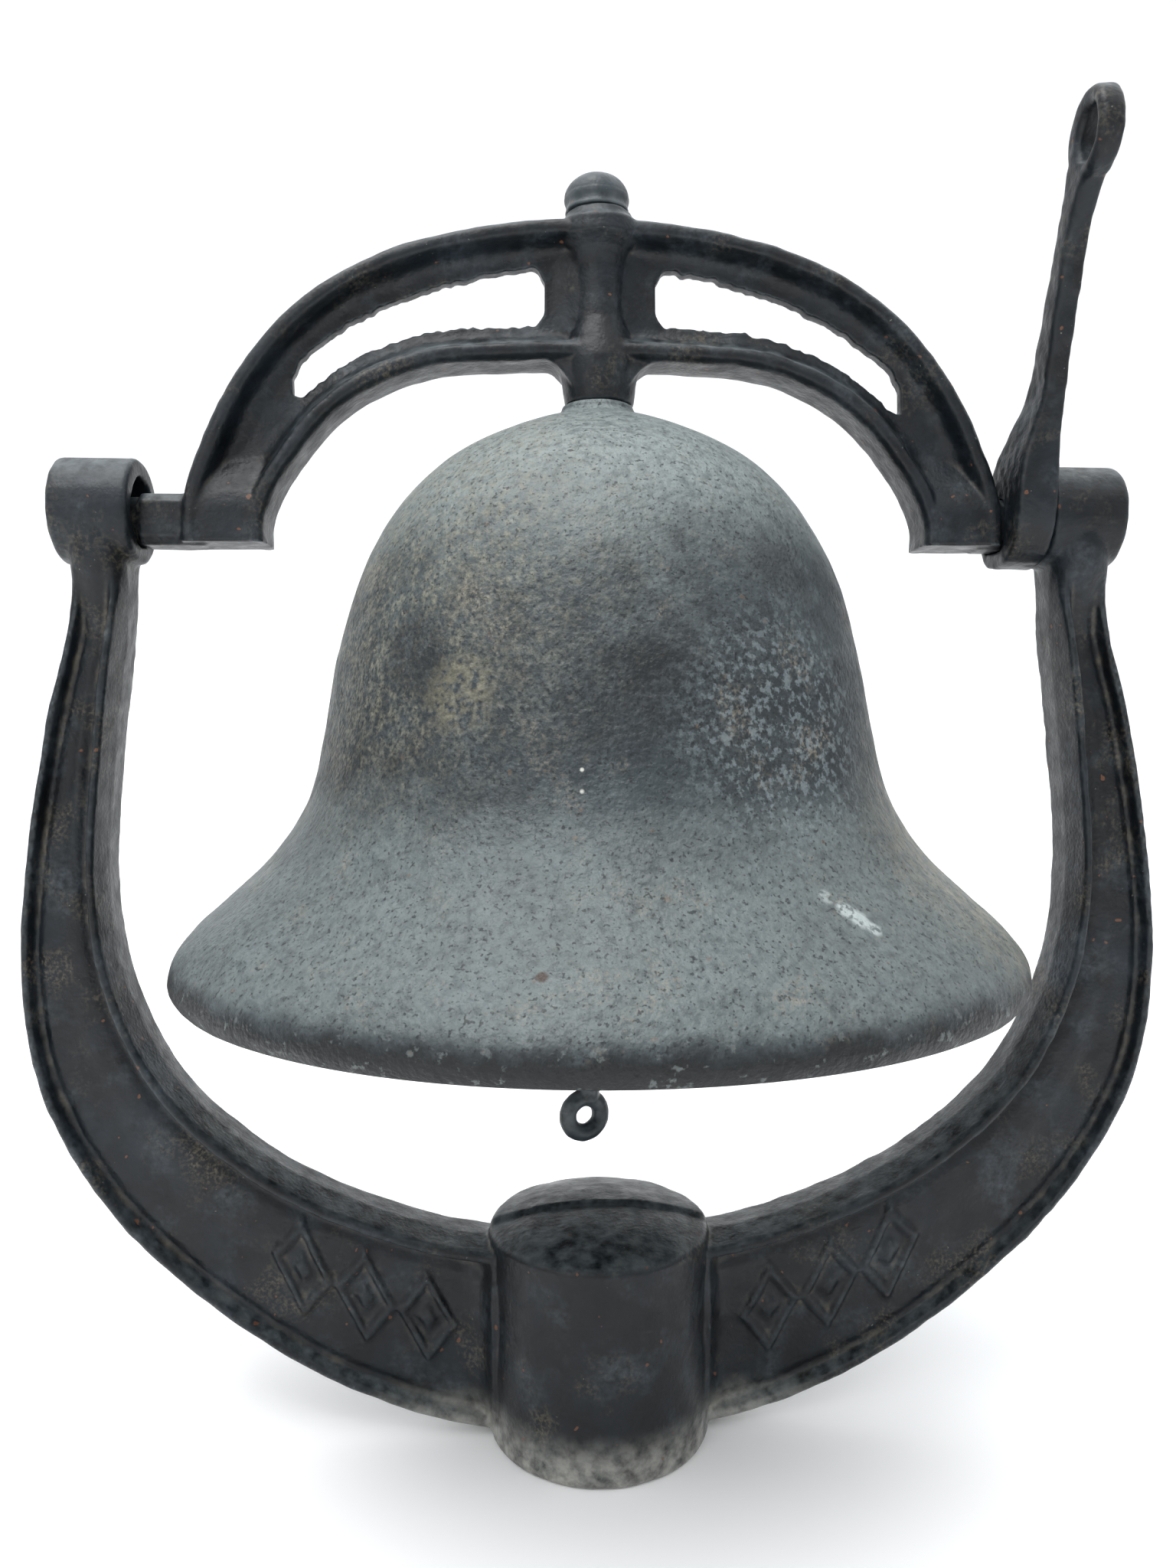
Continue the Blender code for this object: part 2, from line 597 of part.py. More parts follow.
def build_clapper(material):
    stem = lean_tail(turned(clapper_profile(), SMALL_STEPS, True))
    clapper = add_object("clapper", stem, material)
    half = SLOT_WIDTH / 2 - GAP
    tang = cylinder(TANG_WIDTH / 2, (-half, 0, PIN_Z), (half, 0, PIN_Z))
    combine(clapper, add_helper("tang_form", tang), "UNION")
    neck = block((-half, -STEM_RADIUS + 0.001, PIN_Z - TANG_WIDTH / 2 - 0.014),
                 (half, STEM_RADIUS - 0.001, PIN_Z))
    combine(clapper, add_helper("tang_neck", neck), "UNION")
    combine(clapper, add_helper("tail_eye_form", tail_eye()), "UNION")
    bore = cylinder(PIN_RADIUS + GAP, (-0.02, 0, PIN_Z), (0.02, 0, PIN_Z), 16)
    combine(clapper, add_helper("tang_bore", bore), "DIFFERENCE")
    return clapper


def turn_onto_x(bm, z):
    """Lays a piece that was turned about Z along the X axis at a height."""
    place = Matrix.Translation((0, 0, z)) @ Matrix.Rotation(pi / 2, 4, "Y")
    bmesh.ops.transform(bm, matrix=place, verts=bm.verts)
    return bm


def washer_outside():
    return CLEVIS_WIDTH / 2 + GAP + PIN_WASHER


def build_pin(material):
    head_in = -(CLEVIS_WIDTH / 2 + GAP)
    tip = washer_outside() + PIN_SPARE
    chamfer = 0.001
    profile = ((0, tip), (PIN_RADIUS - chamfer, tip), (PIN_RADIUS, tip - chamfer),
               (PIN_RADIUS, head_in), (PIN_HEAD_RADIUS, head_in), (PIN_HEAD_RADIUS, head_in - PIN_HEAD),
               (0, head_in - PIN_HEAD))
    pin = add_object("clapper_pin", turn_onto_x(turned(profile, 16, True), PIN_Z), material)
    x = split_place()
    hole = cylinder(SPLIT_RADIUS + GAP, (x, 0, PIN_Z - 0.02), (x, 0, PIN_Z + 0.02), 12)
    combine(pin, add_helper("split_hole", hole), "DIFFERENCE")
    return pin


def split_place():
    return washer_outside() + GAP + SPLIT_RADIUS + 0.0015


def build_pin_washer(material):
    start = CLEVIS_WIDTH / 2 + GAP
    section = ((PIN_RADIUS + GAP, start), (PIN_WASHER_RADIUS, start),
               (PIN_WASHER_RADIUS, start + PIN_WASHER), (PIN_RADIUS + GAP, start + PIN_WASHER))
    return add_object("pin_washer", turn_onto_x(turned(section, SMALL_STEPS, False), PIN_Z), material)


def build_split_pin(material):
    """A round shank through the pin, with a ring above it and its tip bent over below."""
    x = split_place()
    half = SPLIT_LENGTH / 2
    ring = 0.0024
    route = [(x, 0, PIN_Z - half), (x, 0, PIN_Z + half - 2 * ring)]
    turns = np.linspace(-pi / 2, 1.25 * pi, 12)
    centre = PIN_Z + half
    route += [(x + 0.0004 * i, ring * cos(t), centre + ring * sin(t)) for i, t in enumerate(turns)]
    tip = [(x, 0.0030, PIN_Z - half - 0.0022), (x, 0.0008, PIN_Z - half - 0.0008)]
    return add_object("split_pin", tube(tip + route, SPLIT_RADIUS, 8), material)


def tube(route, radius, sides):
    """A round tube along a route, its rings kept square to the route."""
    route = np.array(route, float)
    ahead = np.gradient(route, axis=0)
    ahead /= np.linalg.norm(ahead, axis=1)[:, None]
    side = np.cross(ahead, (1.0, 0, 0))
    side /= np.linalg.norm(side, axis=1)[:, None]
    up = np.cross(ahead, side)
    around = np.linspace(0, 2 * pi, sides, endpoint=False)
    rings = [[tuple(p + radius * (cos(a) * s + sin(a) * u)) for a in around]
             for p, s, u in zip(route, side, up)]
    return skin(rings, True)


# ---------------------------------------------------------------- crank
def arc(centre, half_size, first, last, count):
    """Points on an oval in the lever's (across, along) plane, between two angles in degrees."""
    angles = np.radians(np.linspace(first, last, count))
    return [(centre[0] + half_size[0] * cos(a), centre[1] + half_size[1] * sin(a)) for a in angles]


def crank_front(eye_end):
    """The lever's front edge, from under the hub, round its swelling and up to the rope eye."""
    half, hub = LEVER_WIDTH / 2, CRANK_HUB_RADIUS
    under = [(-0.400 * hub, -0.917 * hub), (-0.70 * hub - 0.20 * HUB_SWELL, -0.757 * hub),
             (-0.88 * hub - 0.78 * HUB_SWELL, -0.39 * hub), (-hub - HUB_SWELL, 0.21 * hub)]
    taper = [(-hub - 0.84 * HUB_SWELL, 0.026), (-half - 0.0212, 0.045), (-half - 0.0137, 0.065),
             (-half - 0.0087, 0.091), (-half - 0.0027, 0.120), (-half, 0.150)]
    return under + taper + [(-half, CRANK_LENGTH - 0.036), eye_end]


def crank_outline():
    """Side view of the lever as (across, along): hub, front edge, the rope eye's rim, back edge."""
    half, hub = LEVER_WIDTH / 2, CRANK_HUB_RADIUS
    base = arc((0, 0), (hub, hub), 10, -108, 14)
    eye = arc((-EYE_OFFSET, CRANK_LENGTH), (EYE_HALF_WIDTH, EYE_HALF_LENGTH), 222, -44, 20)
    front = smooth_curve(crank_front(eye[0]), 26)
    back = smooth_curve([eye[-1], (half + 0.0005, CRANK_LENGTH - 0.036), (half, 0.110),
                         (half + 0.0030, 0.070), (half + 0.0095, 0.038), base[0]], 14)
    return base + [tuple(p) for p in front[:-1]] + eye + [tuple(p) for p in back[1:-1]]


def crank_matrix():
    return Matrix.Translation((0, 0, AXIS_Z)) @ Matrix.Rotation(CRANK_LEAN, 4, "X")


def lean_crank(bm):
    bmesh.ops.transform(bm, matrix=crank_matrix(), verts=bm.verts)
    return bm


def thinning_form(start, thinned):
    """What the inner side of the lever leaves out: it eases from the hub's face to the stem's."""
    shares = np.linspace(0.03, 1, 10)
    face = [(start + (thinned - start) * s**2 * (3 - 2 * s), THIN_FROM + (THIN_TO - THIN_FROM) * s)
            for s in shares]
    top = CRANK_LENGTH + EYE_HALF_LENGTH + CUT
    outline = face + [(thinned, top), (start - CUT, top), (start - CUT, face[0][1])]
    reach = EYE_HALF_WIDTH + EYE_OFFSET + CUT
    return lean_crank(skin([[(x, y, z) for x, z in outline] for y in (-reach, reach)], True))


def build_crank(material):
    """The lever's outer face is flat; it thins from the inner side towards the rope eye."""
    start = FOOT_END + GAP
    end = BOSS_FACE - CRANK_PLAY
    lever = lean_crank(bar_along_x(crank_outline(), start, end, 0))
    crank = add_object("crank_arm", lever, material)
    thinned = end - LEVER_THICKNESS
    combine(crank, add_helper("crank_thinning", thinning_form(start, thinned)), "DIFFERENCE")
    seat_hole = [(y + GAP * np.sign(y), z + GAP * np.sign(z)) for y, z in seat_outline()]
    hole = bar_along_x(seat_hole, start - CUT, end + CUT, AXIS_Z)
    combine(crank, add_helper("crank_seat_hole", hole), "DIFFERENCE")
    oval = arc((-HOLE_OFFSET, CRANK_LENGTH), (HOLE_HALF_WIDTH, HOLE_HALF_LENGTH), 0, 345, 24)
    eye_hole = lean_crank(bar_along_x(oval, start - CUT, end + CUT, 0))
    combine(crank, add_helper("rope_eye_hole", eye_hole), "DIFFERENCE")
    return crank


# ---------------------------------------------------------------- assembly
def hang(name, height, pieces):
    """Parents pieces to an empty on their joint's axis without moving them."""
    axis = bpy.data.objects.new(name, None)
    axis.location = (0, 0, height)
    bpy.context.scene.collection.objects.link(axis)
    for piece in pieces:
        piece.parent = axis
        piece.matrix_parent_inverse = Matrix.Translation((0, 0, -height))


def main():
    clear_scene()
    frame_iron = make_material("painted_cast_iron", "23282c", 0.55, 0.0)
    bell_iron = make_material("sand_cast_bell_iron", "4b5557", 0.6, 0.0)
    cast = make_material("cast_fittings", "2c3134", 0.5, 0.0)
    steel = make_material("dull_steel", "5c5f60", 0.5, 0.8)
    build_bracket(frame_iron)
    swinging = [build_yoke(frame_iron), build_bell(bell_iron), build_crank(frame_iron),
                build_nut(cast), build_bolt(steel), build_crown_washer(steel),
                build_pin(steel), build_pin_washer(steel), build_split_pin(steel)]
    hang("yoke_axis", AXIS_Z, swinging)
    hang("clapper_axis", PIN_Z, [build_clapper(cast)])


main()
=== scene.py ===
"""Looks for a cast-iron yard dinner bell on its post-top bracket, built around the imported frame.

Every casting is a set of closed shells worked out with numpy (profiles turned about an axis,
sections carried along the frame's outlines), fused and softened as sand-cast iron is, and
painted with procedural finishes. Metres; +Z up, X along the swing axis, -Y the front.
"""

import json
from math import cos, pi, radians, sin

import bmesh
import bpy
import numpy as np
from mathutils import Matrix, Vector


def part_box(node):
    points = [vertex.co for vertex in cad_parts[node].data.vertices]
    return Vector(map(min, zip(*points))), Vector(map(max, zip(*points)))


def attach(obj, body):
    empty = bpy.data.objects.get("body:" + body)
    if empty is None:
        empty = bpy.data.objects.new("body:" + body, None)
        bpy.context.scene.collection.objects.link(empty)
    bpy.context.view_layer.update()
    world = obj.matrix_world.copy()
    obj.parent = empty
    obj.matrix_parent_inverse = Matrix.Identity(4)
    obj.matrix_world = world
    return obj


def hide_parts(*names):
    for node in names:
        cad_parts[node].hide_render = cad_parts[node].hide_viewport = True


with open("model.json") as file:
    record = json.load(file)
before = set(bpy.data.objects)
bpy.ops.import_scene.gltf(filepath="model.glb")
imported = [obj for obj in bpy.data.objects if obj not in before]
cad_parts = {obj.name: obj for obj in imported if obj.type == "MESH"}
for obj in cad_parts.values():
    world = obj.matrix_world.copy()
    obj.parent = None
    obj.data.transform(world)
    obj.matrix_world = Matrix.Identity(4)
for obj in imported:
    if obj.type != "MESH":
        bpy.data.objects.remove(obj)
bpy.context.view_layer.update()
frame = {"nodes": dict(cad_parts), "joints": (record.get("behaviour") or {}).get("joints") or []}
MM = 0.001

# ---------------------------------------------------------------- sizes read from the frame
AXIS_Z, PIN_Z = [joint["pos_m"][2] for joint in frame["joints"]]
BRACKET_LOW, BRACKET_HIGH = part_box("bracket")
YOKE_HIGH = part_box("yoke")[1]
BELL_LOW, BELL_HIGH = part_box("bell")
NUT_LOW, NUT_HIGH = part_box("crown_nut")
CLAPPER_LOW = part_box("clapper")[0]
CRANK_LOW, CRANK_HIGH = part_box("crank_arm")

ARM_OUTER = BRACKET_HIGH.x  # half width of the bracket
SOCKET_RADIUS = BRACKET_HIGH.y
SOCKET_FOOT = BRACKET_LOW.z
MOUTH_RADIUS = BELL_HIGH.x
RIM_Z, CROWN_Z = BELL_LOW.z, BELL_HIGH.z
HUB_TOP = YOKE_HIGH.z

# ---------------------------------------------------------------- sizes of the castings
BOSS_RADIUS = 0.0345
BORE_RADIUS = 0.0234  # of the bosses; with the journals' radius it leaves the uneven skins clear
JOURNAL_RADIUS = 0.0160
PIVOT_Z = BRACKET_HIGH.z - BOSS_RADIUS
ARM_INNER = ARM_OUTER - 0.0555  # half width inside the arms
BOSS_FACE = ARM_INNER - 0.0266  # X of a boss's inner face
BOSS_END = BOSS_FACE + 0.051
SEAT_END = BOSS_FACE - 0.0015  # X where a square crank seat stops
FOOT_END = SEAT_END - 0.0273  # X of a yoke foot's outer end
FOOT_INNER = FOOT_END - 0.051
WEB_DROP = 0.128  # of the frame's lowest edge under the post seat
RIGHT_ARM_SPARE = 0.007  # share by which the right arm is cast wide
SOCKET_WALL = 0.012
SOCKET_TOP = 0.023  # middle of the socket's closed end above the post seat
SOCKET_FALL = 0.0125  # of the closed end towards its edge
SEAT_HALF = 0.0170  # of the square crank seat
SEAT_CHAMFER = 0.006
YOKE_RISE = 0.1932  # of the yoke's top over the swing axis
ARCH_RISE = 0.1057  # of its underside
CROWN_RISE = CROWN_Z + 0.0003 - AXIS_Z  # of its seat on the bell
WEB_HALF = 0.0048  # half thickness of the yoke's web
HUB_SHIFT = 0.0012  # of the hub to the right of the middle
FLOOR_Z = SOCKET_FOOT


# ---------------------------------------------------------------- shapes with numpy
def smooth_curve(points, count):
    """Points evenly spaced along a cubic curve through the given points.

    The tangent at each point is that of the parabola through it and its two neighbours.
    """
    points = np.array(points, float)
    gaps = np.diff(points, axis=0)
    span = np.linalg.norm(gaps, axis=1)[:, None]
    slope = gaps / span
    middle = (slope[:-1] * span[1:] + slope[1:] * span[:-1]) / (span[:-1] + span[1:])
    tangent = np.vstack([2 * slope[:1] - middle[:1], middle, 2 * slope[-1:] - middle[-1:]])
    t = np.linspace(0, 1, 24, endpoint=False)[None, :, None]
    start, end = points[:-1, None], points[1:, None]
    leave, arrive = (span * tangent[:-1])[:, None], (span * tangent[1:])[:, None]
    spans = ((2 * t**3 - 3 * t**2 + 1) * start + (t**3 - 2 * t**2 + t) * leave
             + (3 * t**2 - 2 * t**3) * end + (t**3 - t**2) * arrive)
    dense = np.vstack([spans.reshape(-1, points.shape[1]), points[-1:]])
    length = np.r_[0, np.cumsum(np.linalg.norm(np.diff(dense, axis=0), axis=1))]
    even = np.linspace(0, length[-1], count)
    return np.stack([np.interp(even, length, column) for column in dense.T], axis=1)


def half_curve(half, count):
    """A half outline smoothed together with its mirror image, so that it is level at X = 0."""
    half = np.array(half)
    return smooth_curve(np.vstack([half[:0:-1] * (-1, 1), half]), 2 * count - 1)[count - 1:]


def step(low, high, x):
    """0 below low, 1 above high, and the cubic 3t^2 - 2t^3 between them."""
    t = np.clip((x - low) / (high - low), 0, 1)
    return t * t * (3 - 2 * t)


def grid_faces(rows, columns, closed_rows):
    """Quads of a grid that closes on itself along its columns, and along its rows if asked."""
    r = np.arange(rows if closed_rows else rows - 1)[:, None]
    c = np.arange(columns)[None, :]
    ahead, beside = (r + 1) % rows, (c + 1) % columns
    quads = np.stack([r * columns + c, r * columns + beside,
                      ahead * columns + beside, ahead * columns + c], axis=-1)
    return quads.reshape(-1, 4)


def shell(rings, loop=False):
    """A closed shell through rings of points: a loop of rings, or a tube capped by two fans."""
    rings = np.asarray(rings, float)
    rows, columns = rings.shape[:2]
    verts = rings.reshape(-1, 3)
    faces = grid_faces(rows, columns, loop).tolist()
    if not loop:
        first, last = len(verts), len(verts) + 1
        verts = np.vstack([verts, rings[0].mean(0), rings[-1].mean(0)])
        c = np.arange(columns)
        beside = (c + 1) % columns
        faces += np.stack([np.full(columns, first), beside, c], axis=1).tolist()
        top = (rows - 1) * columns
        faces += np.stack([np.full(columns, last), top + c, top + beside], axis=1).tolist()
    return verts, faces


def turned(profile, steps, loop=False, axis="Z"):
    """Turns (radius, height) points about an axis: x = r cos a, y = r sin a, z = height."""
    r, h = np.asarray(profile, float).T[:, :, None]
    a = np.linspace(0, 2 * pi, steps, endpoint=False)[None, :]
    flat = np.zeros_like(a)
    x, y, z = r * np.cos(a), r * np.sin(a), h + flat
    rings = np.stack([x, y, z] if axis == "Z" else [z, x, y], axis=-1)
    return shell(rings, loop)


def moved(part, offset):
    """The same shell, carried by an offset."""
    return part[0] + np.array(offset), part[1]


def rounded_corners(half_x, half_y, radius, steps=6):
    """Points round a rectangle whose corners are quarter circles."""
    a = np.linspace(0, pi / 2, steps)
    corner = np.stack([np.cos(a), np.sin(a)], axis=1) * radius
    middle = np.array([half_x - radius, half_y - radius])
    quarters = []
    for sx, sy in ((1, 1), (-1, 1), (-1, -1), (1, -1)):
        arc = (corner + middle) * (sx, sy)
        quarters.append(arc if sx * sy > 0 else arc[::-1])
    return np.vstack(quarters)


def bar(section, start, end):
    """A (y, z) section carried along X, its edges eased at both ends."""
    ease = 0.0015
    stations = ((start, 0.93), (start + ease, 1.0), (end - ease, 1.0), (end, 0.93))
    rings = [np.column_stack([np.full(len(section), x), section * share]) for x, share in stations]
    return shell(rings)


def lumps(points, size, seed):
    """A smooth field from -1 to 1: a sum of sine waves of one length in random directions."""
    chance = np.random.default_rng(seed)
    waves = chance.normal(size=(14, 3))
    waves *= 2 * pi / size / np.linalg.norm(waves, axis=1)[:, None]
    total = np.zeros(len(points))
    for wave, phase in zip(waves, chance.uniform(0, 2 * pi, len(waves))):
        total += np.sin(points @ wave + phase)
    return total / np.sqrt(len(waves))


# ---------------------------------------------------------------- meshes from shapes
def to_object(name, verts, faces):
    """A mesh object at the origin from vertices and faces."""
    mesh = bpy.data.meshes.new(name)
    mesh.from_pydata(np.asarray(verts).tolist(), [], faces)
    mesh.validate()
    obj = bpy.data.objects.new(name, mesh)
    bpy.context.scene.collection.objects.link(obj)
    return obj


def joined(parts):
    """Several shells as one list of vertices and faces."""
    verts, faces, start = [], [], 0
    for part_verts, part_faces in parts:
        verts.append(part_verts)
        faces += [[i + start for i in face] for face in part_faces]
        start += len(part_verts)
    return np.vstack(verts), faces


def point_outwards(obj):
    """Turns every face of a closed mesh to look out of it."""
    bm = bmesh.new()
    bm.from_mesh(obj.data)
    bmesh.ops.recalc_face_normals(bm, faces=bm.faces)
    bm.to_mesh(obj.data)
    bm.free()


def settle(obj):
    """Turns the object's modifiers into its mesh."""
    graph = bpy.context.evaluated_depsgraph_get()
    mesh = bpy.data.meshes.new_from_object(obj.evaluated_get(graph))
    obj.modifiers.clear()
    obj.data = mesh


def cut(part, cutters):
    """A shell less some others, by exact Boolean."""
    body = to_object("cut_body", *part)
    point_outwards(body)
    tools = []
    for cutter in cutters:
        tool = to_object("cut_tool", *cutter)
        point_outwards(tool)
        modifier = body.modifiers.new("cut", "BOOLEAN")
        modifier.operation, modifier.solver, modifier.object = "DIFFERENCE", "EXACT", tool
        tools.append(tool)
    settle(body)
    verts = np.zeros(len(body.data.vertices) * 3)
    body.data.vertices.foreach_get("co", verts)
    faces = [list(face.vertices) for face in body.data.polygons]
    for obj in tools + [body]:
        bpy.data.objects.remove(obj)
    return verts.reshape(-1, 3), faces


def fused(name, parts, voxel, soften, most_triangles):
    """One casting from overlapping shells: voxels fuse them, and smoothing rounds the joints."""
    obj = to_object(name, *joined(parts))
    point_outwards(obj)
    remesh = obj.modifiers.new("fuse", "REMESH")
    remesh.mode, remesh.voxel_size = "VOXEL", voxel
    smooth = obj.modifiers.new("soften", "SMOOTH")
    smooth.factor, smooth.iterations = 0.5, soften
    settle(obj)
    triangles = 2 * len(obj.data.polygons)
    if triangles > most_triangles:
        thin = obj.modifiers.new("thin", "DECIMATE")
        thin.ratio = most_triangles / triangles
        settle(obj)
    return obj


def cast_surface(obj, waves):
    """Pushes each vertex along its normal by a sum of (height, size, seed) lumps."""
    mesh = obj.data
    places = np.zeros(len(mesh.vertices) * 3)
    normals = np.zeros(len(mesh.vertices) * 3)
    mesh.vertices.foreach_get("co", places)
    mesh.vertex_normals.foreach_get("vector", normals)
    places, normals = places.reshape(-1, 3), normals.reshape(-1, 3)
    push = sum(height * lumps(places, size, seed) for height, size, seed in waves)
    mesh.vertices.foreach_set("co", (places + normals * push[:, None]).ravel())
    mesh.update()


def finish_piece(obj, body, nodes, material):
    """Shades the piece smooth, gives it its finish, ties it to its body, and hides the frame's
    nodes it stands for.
    """
    obj.data.materials.clear()
    obj.data.materials.append(material)
    obj.data.shade_smooth()
    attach(obj, body)
    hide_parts(*nodes)


# ---------------------------------------------------------------- bracket
def arm_height(share):
    """Height on the frame: up to the pivot for a positive share, down the web for a negative."""
    return share * (PIVOT_Z if share > 0 else WEB_DROP)


def arm_inner():
    """Inner edge of one arm as (share of the inner half width, share of the height)."""
    shares = ((0, 0.004), (0.23, 0.008), (0.465, 0.050), (0.688, 0.124), (0.883, 0.246),
              (0.986, 0.412), (1.0, 0.503), (0.981, 0.689), (0.943, 0.898), (0.936, 0.945),
              (0.920, 1.0))
    return [(x * ARM_INNER, arm_height(z)) for x, z in shares]


def arm_outer():
    """Outer edge of one arm as (share of the outer half width, share of the height)."""
    shares = ((0, -1.008), (0.198, -1.0), (0.443, -0.762), (0.680, -0.303), (0.877, 0.078),
              (0.971, 0.219), (1.002, 0.385), (0.993, 0.502), (0.952, 0.711), (0.899, 0.905),
              (0.901, 0.95), (0.913, 1.0))
    return [(x * ARM_OUTER, arm_height(z)) for x, z in shares]


def arm_depths(across, width, x, z):
    """Half depth of the frame at a distance across it.

    Read across it has the inner flange, a cove, the web, a groove and the outer bead: tables
    of (distance, half depth) near either edge, the greatest of them and the web. By the socket
    the web swells as exp(-distance), and at the top the section fills to an oval.
    """
    tight = np.minimum(1.0, width / 0.050)
    n = across / tight
    far = (width - across) / tight
    web = 0.0070 + 0.0012 * np.sin(pi * np.clip(across / width, 0, 1)) ** 2
    web = web + 0.0022 * (step(0.018, 0.026, n) - step(0.40, 0.55, across / width))
    flange = np.interp(n, (0.0, 0.0023, 0.0034, 0.0080, 0.0094, 0.0112, 0.0140, 0.0190),
                       (0.0, 0.0250, 0.0268, 0.0272, 0.0258, 0.0170, 0.0098, 0.0))
    bead = np.interp(far, (0.0, 0.0004, 0.0020, 0.0046, 0.0074, 0.0092, 0.0105, 0.0120),
                     (0.0, 0.0085, 0.0132, 0.0152, 0.0146, 0.0120, 0.0078, 0.0))
    groove = 0.0016 * np.exp(-((far - 0.0145) / 0.0035) ** 2)
    by_socket = 0.020 * np.exp(-np.maximum(np.abs(x) - SOCKET_RADIUS + 0.002, 0) / 0.0065)
    by_socket = by_socket * step(0.004, 0.022, far)
    edge = np.minimum(step(0, 0.002, n), step(0, 0.002, far))
    inside = np.maximum(np.maximum(flange, bead), (web - groove + by_socket) * edge)
    filled = step(PIVOT_Z - 0.088, PIVOT_Z - 0.030, z)
    swell = np.sqrt(np.clip(1 - ((across / width - 0.5) / 0.56) ** 2, 0, 1))
    solid = (0.026 + 0.006 * step(PIVOT_Z - 0.060, PIVOT_Z - 0.015, z)) * swell
    return inside + (solid - inside) * filled


def web_ornament(x, across, width):
    """A row of three raised lozenges along each lower web, as heights above the web.

    With u and v the shares of a lozenge's half length and half height, its rim runs where
    u + v = 1 and its button stands where u + v is near 0; both fall off as exp(-d^4).
    """
    height = np.zeros_like(across)
    for centre in (0.118, 0.160, 0.202):
        u = np.abs(np.abs(x) - centre) / 0.018
        v = np.abs(across / width - 0.47) * width / 0.026
        ring = np.abs(u + v - 1)
        height = height + 0.0034 * np.exp(-(ring / 0.19) ** 4)
        height = height + 0.0034 * np.exp(-((u + v) / 0.36) ** 4)
    return height


def arm_ring(inner, outer):
    """One closed section of the frame: the front from inner to outer edge, then the back."""
    width = np.linalg.norm(outer - inner)
    tight = min(1, width / 0.05)
    middle = np.linspace(0.020 * tight, width - 0.014 * tight, 56, endpoint=False)
    across = np.concatenate([np.linspace(0, 0.020, 16, endpoint=False) * tight, middle,
                             width - np.linspace(0.014, 0, 15) * tight])
    spot = inner + (outer - inner) * (across / width)[:, None]
    depth = arm_depths(across, width, spot[:, 0], spot[:, 1])
    front = depth + web_ornament(spot[:, 0], across, width) * (spot[:, 1] < 0.12)
    ring_front = np.column_stack([spot[:, 0], -front, spot[:, 1]])
    ring_back = np.column_stack([spot[:, 0], depth, spot[:, 1]])[-2:0:-1]
    return np.vstack([ring_front, ring_back])


def bracket_frame():
    """The whole frame from the left pivot round the bottom to the right pivot."""
    count = 400
    inner, outer = half_curve(arm_inner(), count), half_curve(arm_outer(), count)
    wider = 1 + RIGHT_ARM_SPARE * step(0.0, 0.12, outer[:, 1:]) * (1, 0)
    right = [arm_ring(i, o) for i, o in zip(inner, outer * wider)]
    left = [arm_ring(i, o) * (-1, 1, 1) for i, o in zip(inner[:0:-1], outer[:0:-1])]
    return shell(left + right)


def socket_shell():
    """The socket's outside: a shallow dome whose rear half stands a little higher, then a wall."""
    shares = np.linspace(0.02, 1, 26)
    dome = [(SOCKET_RADIUS * s - 0.002 * step(0.96, 1, s), SOCKET_TOP - SOCKET_FALL * s**2.2)
            for s in shares]
    edge = SOCKET_TOP - SOCKET_FALL
    wall = [(SOCKET_RADIUS, edge - 0.003)]
    wall += [(SOCKET_RADIUS, z) for z in np.linspace(edge - 0.01, SOCKET_FOOT + 0.006, 30)]
    lip = [(SOCKET_RADIUS - 0.0008, SOCKET_FOOT + 0.0025), (SOCKET_RADIUS - 0.0035, SOCKET_FOOT)]
    verts, faces = turned(dome + wall + lip, 160)
    on_top = step(edge - 0.006, edge, verts[:, 2])
    verts[:, 2] += 0.0030 * on_top * step(-0.0004, 0.0004, verts[:, 1])
    return verts, faces


def tube_shell(outer, inner, start, end, ease):
    """A bush turned about X: outside, eased edge, bore and back again, as a closed loop."""
    profile = [(inner, start), (outer - ease, start), (outer - 0.3 * ease, start + 0.3 * ease),
               (outer, start + ease), (outer, end - ease), (outer - 0.3 * ease, end - 0.3 * ease),
               (outer - ease, end), (inner, end)]
    return turned(profile, 96, loop=True, axis="X")


def build_bracket(material):
    """The frame, socket and bosses, hollowed for the post and the journals and fused as one."""
    parts = [bracket_frame(), socket_shell()]
    solids = []
    cutters = [turned([(SOCKET_RADIUS - SOCKET_WALL, z) for z in (SOCKET_FOOT - 0.01, 0)], 96)]
    for side in (-1, 1):
        ends = sorted((side * BOSS_FACE, side * BOSS_END))
        bore = [(BORE_RADIUS, ends[0] - 0.02), (BORE_RADIUS, ends[1] + 0.02)]
        cutters.append(turned(bore, 64, axis="X"))
        solids.append(moved(tube_shell(BOSS_RADIUS, BORE_RADIUS, *ends, 0.003), (0, 0, PIVOT_Z)))
    cutters[1:] = [moved(tool, (0, 0, PIVOT_Z)) for tool in cutters[1:]]
    frame_part = cut(parts[0], cutters)
    socket = cut(parts[1], cutters[:1])
    button = turned([(0.0001, 0), (0.0048, 0.0), (0.0040, 0.0022), (0.0001, 0.0028)], 32)
    lay = np.array([[1, 0, 0], [0, 0, -1], [0, 1, 0]], float)
    button = (button[0] @ lay.T + (-0.318, -0.0068, 0.020), button[1])
    obj = fused("bracket_casting", [frame_part, socket, button] + solids, 0.0015, 5, 190000)
    cast_surface(obj, ((0.00025, 0.030, 3), (0.00012, 0.012, 4)))
    finish_piece(obj, "bracket", ["bracket"], material)
    return obj


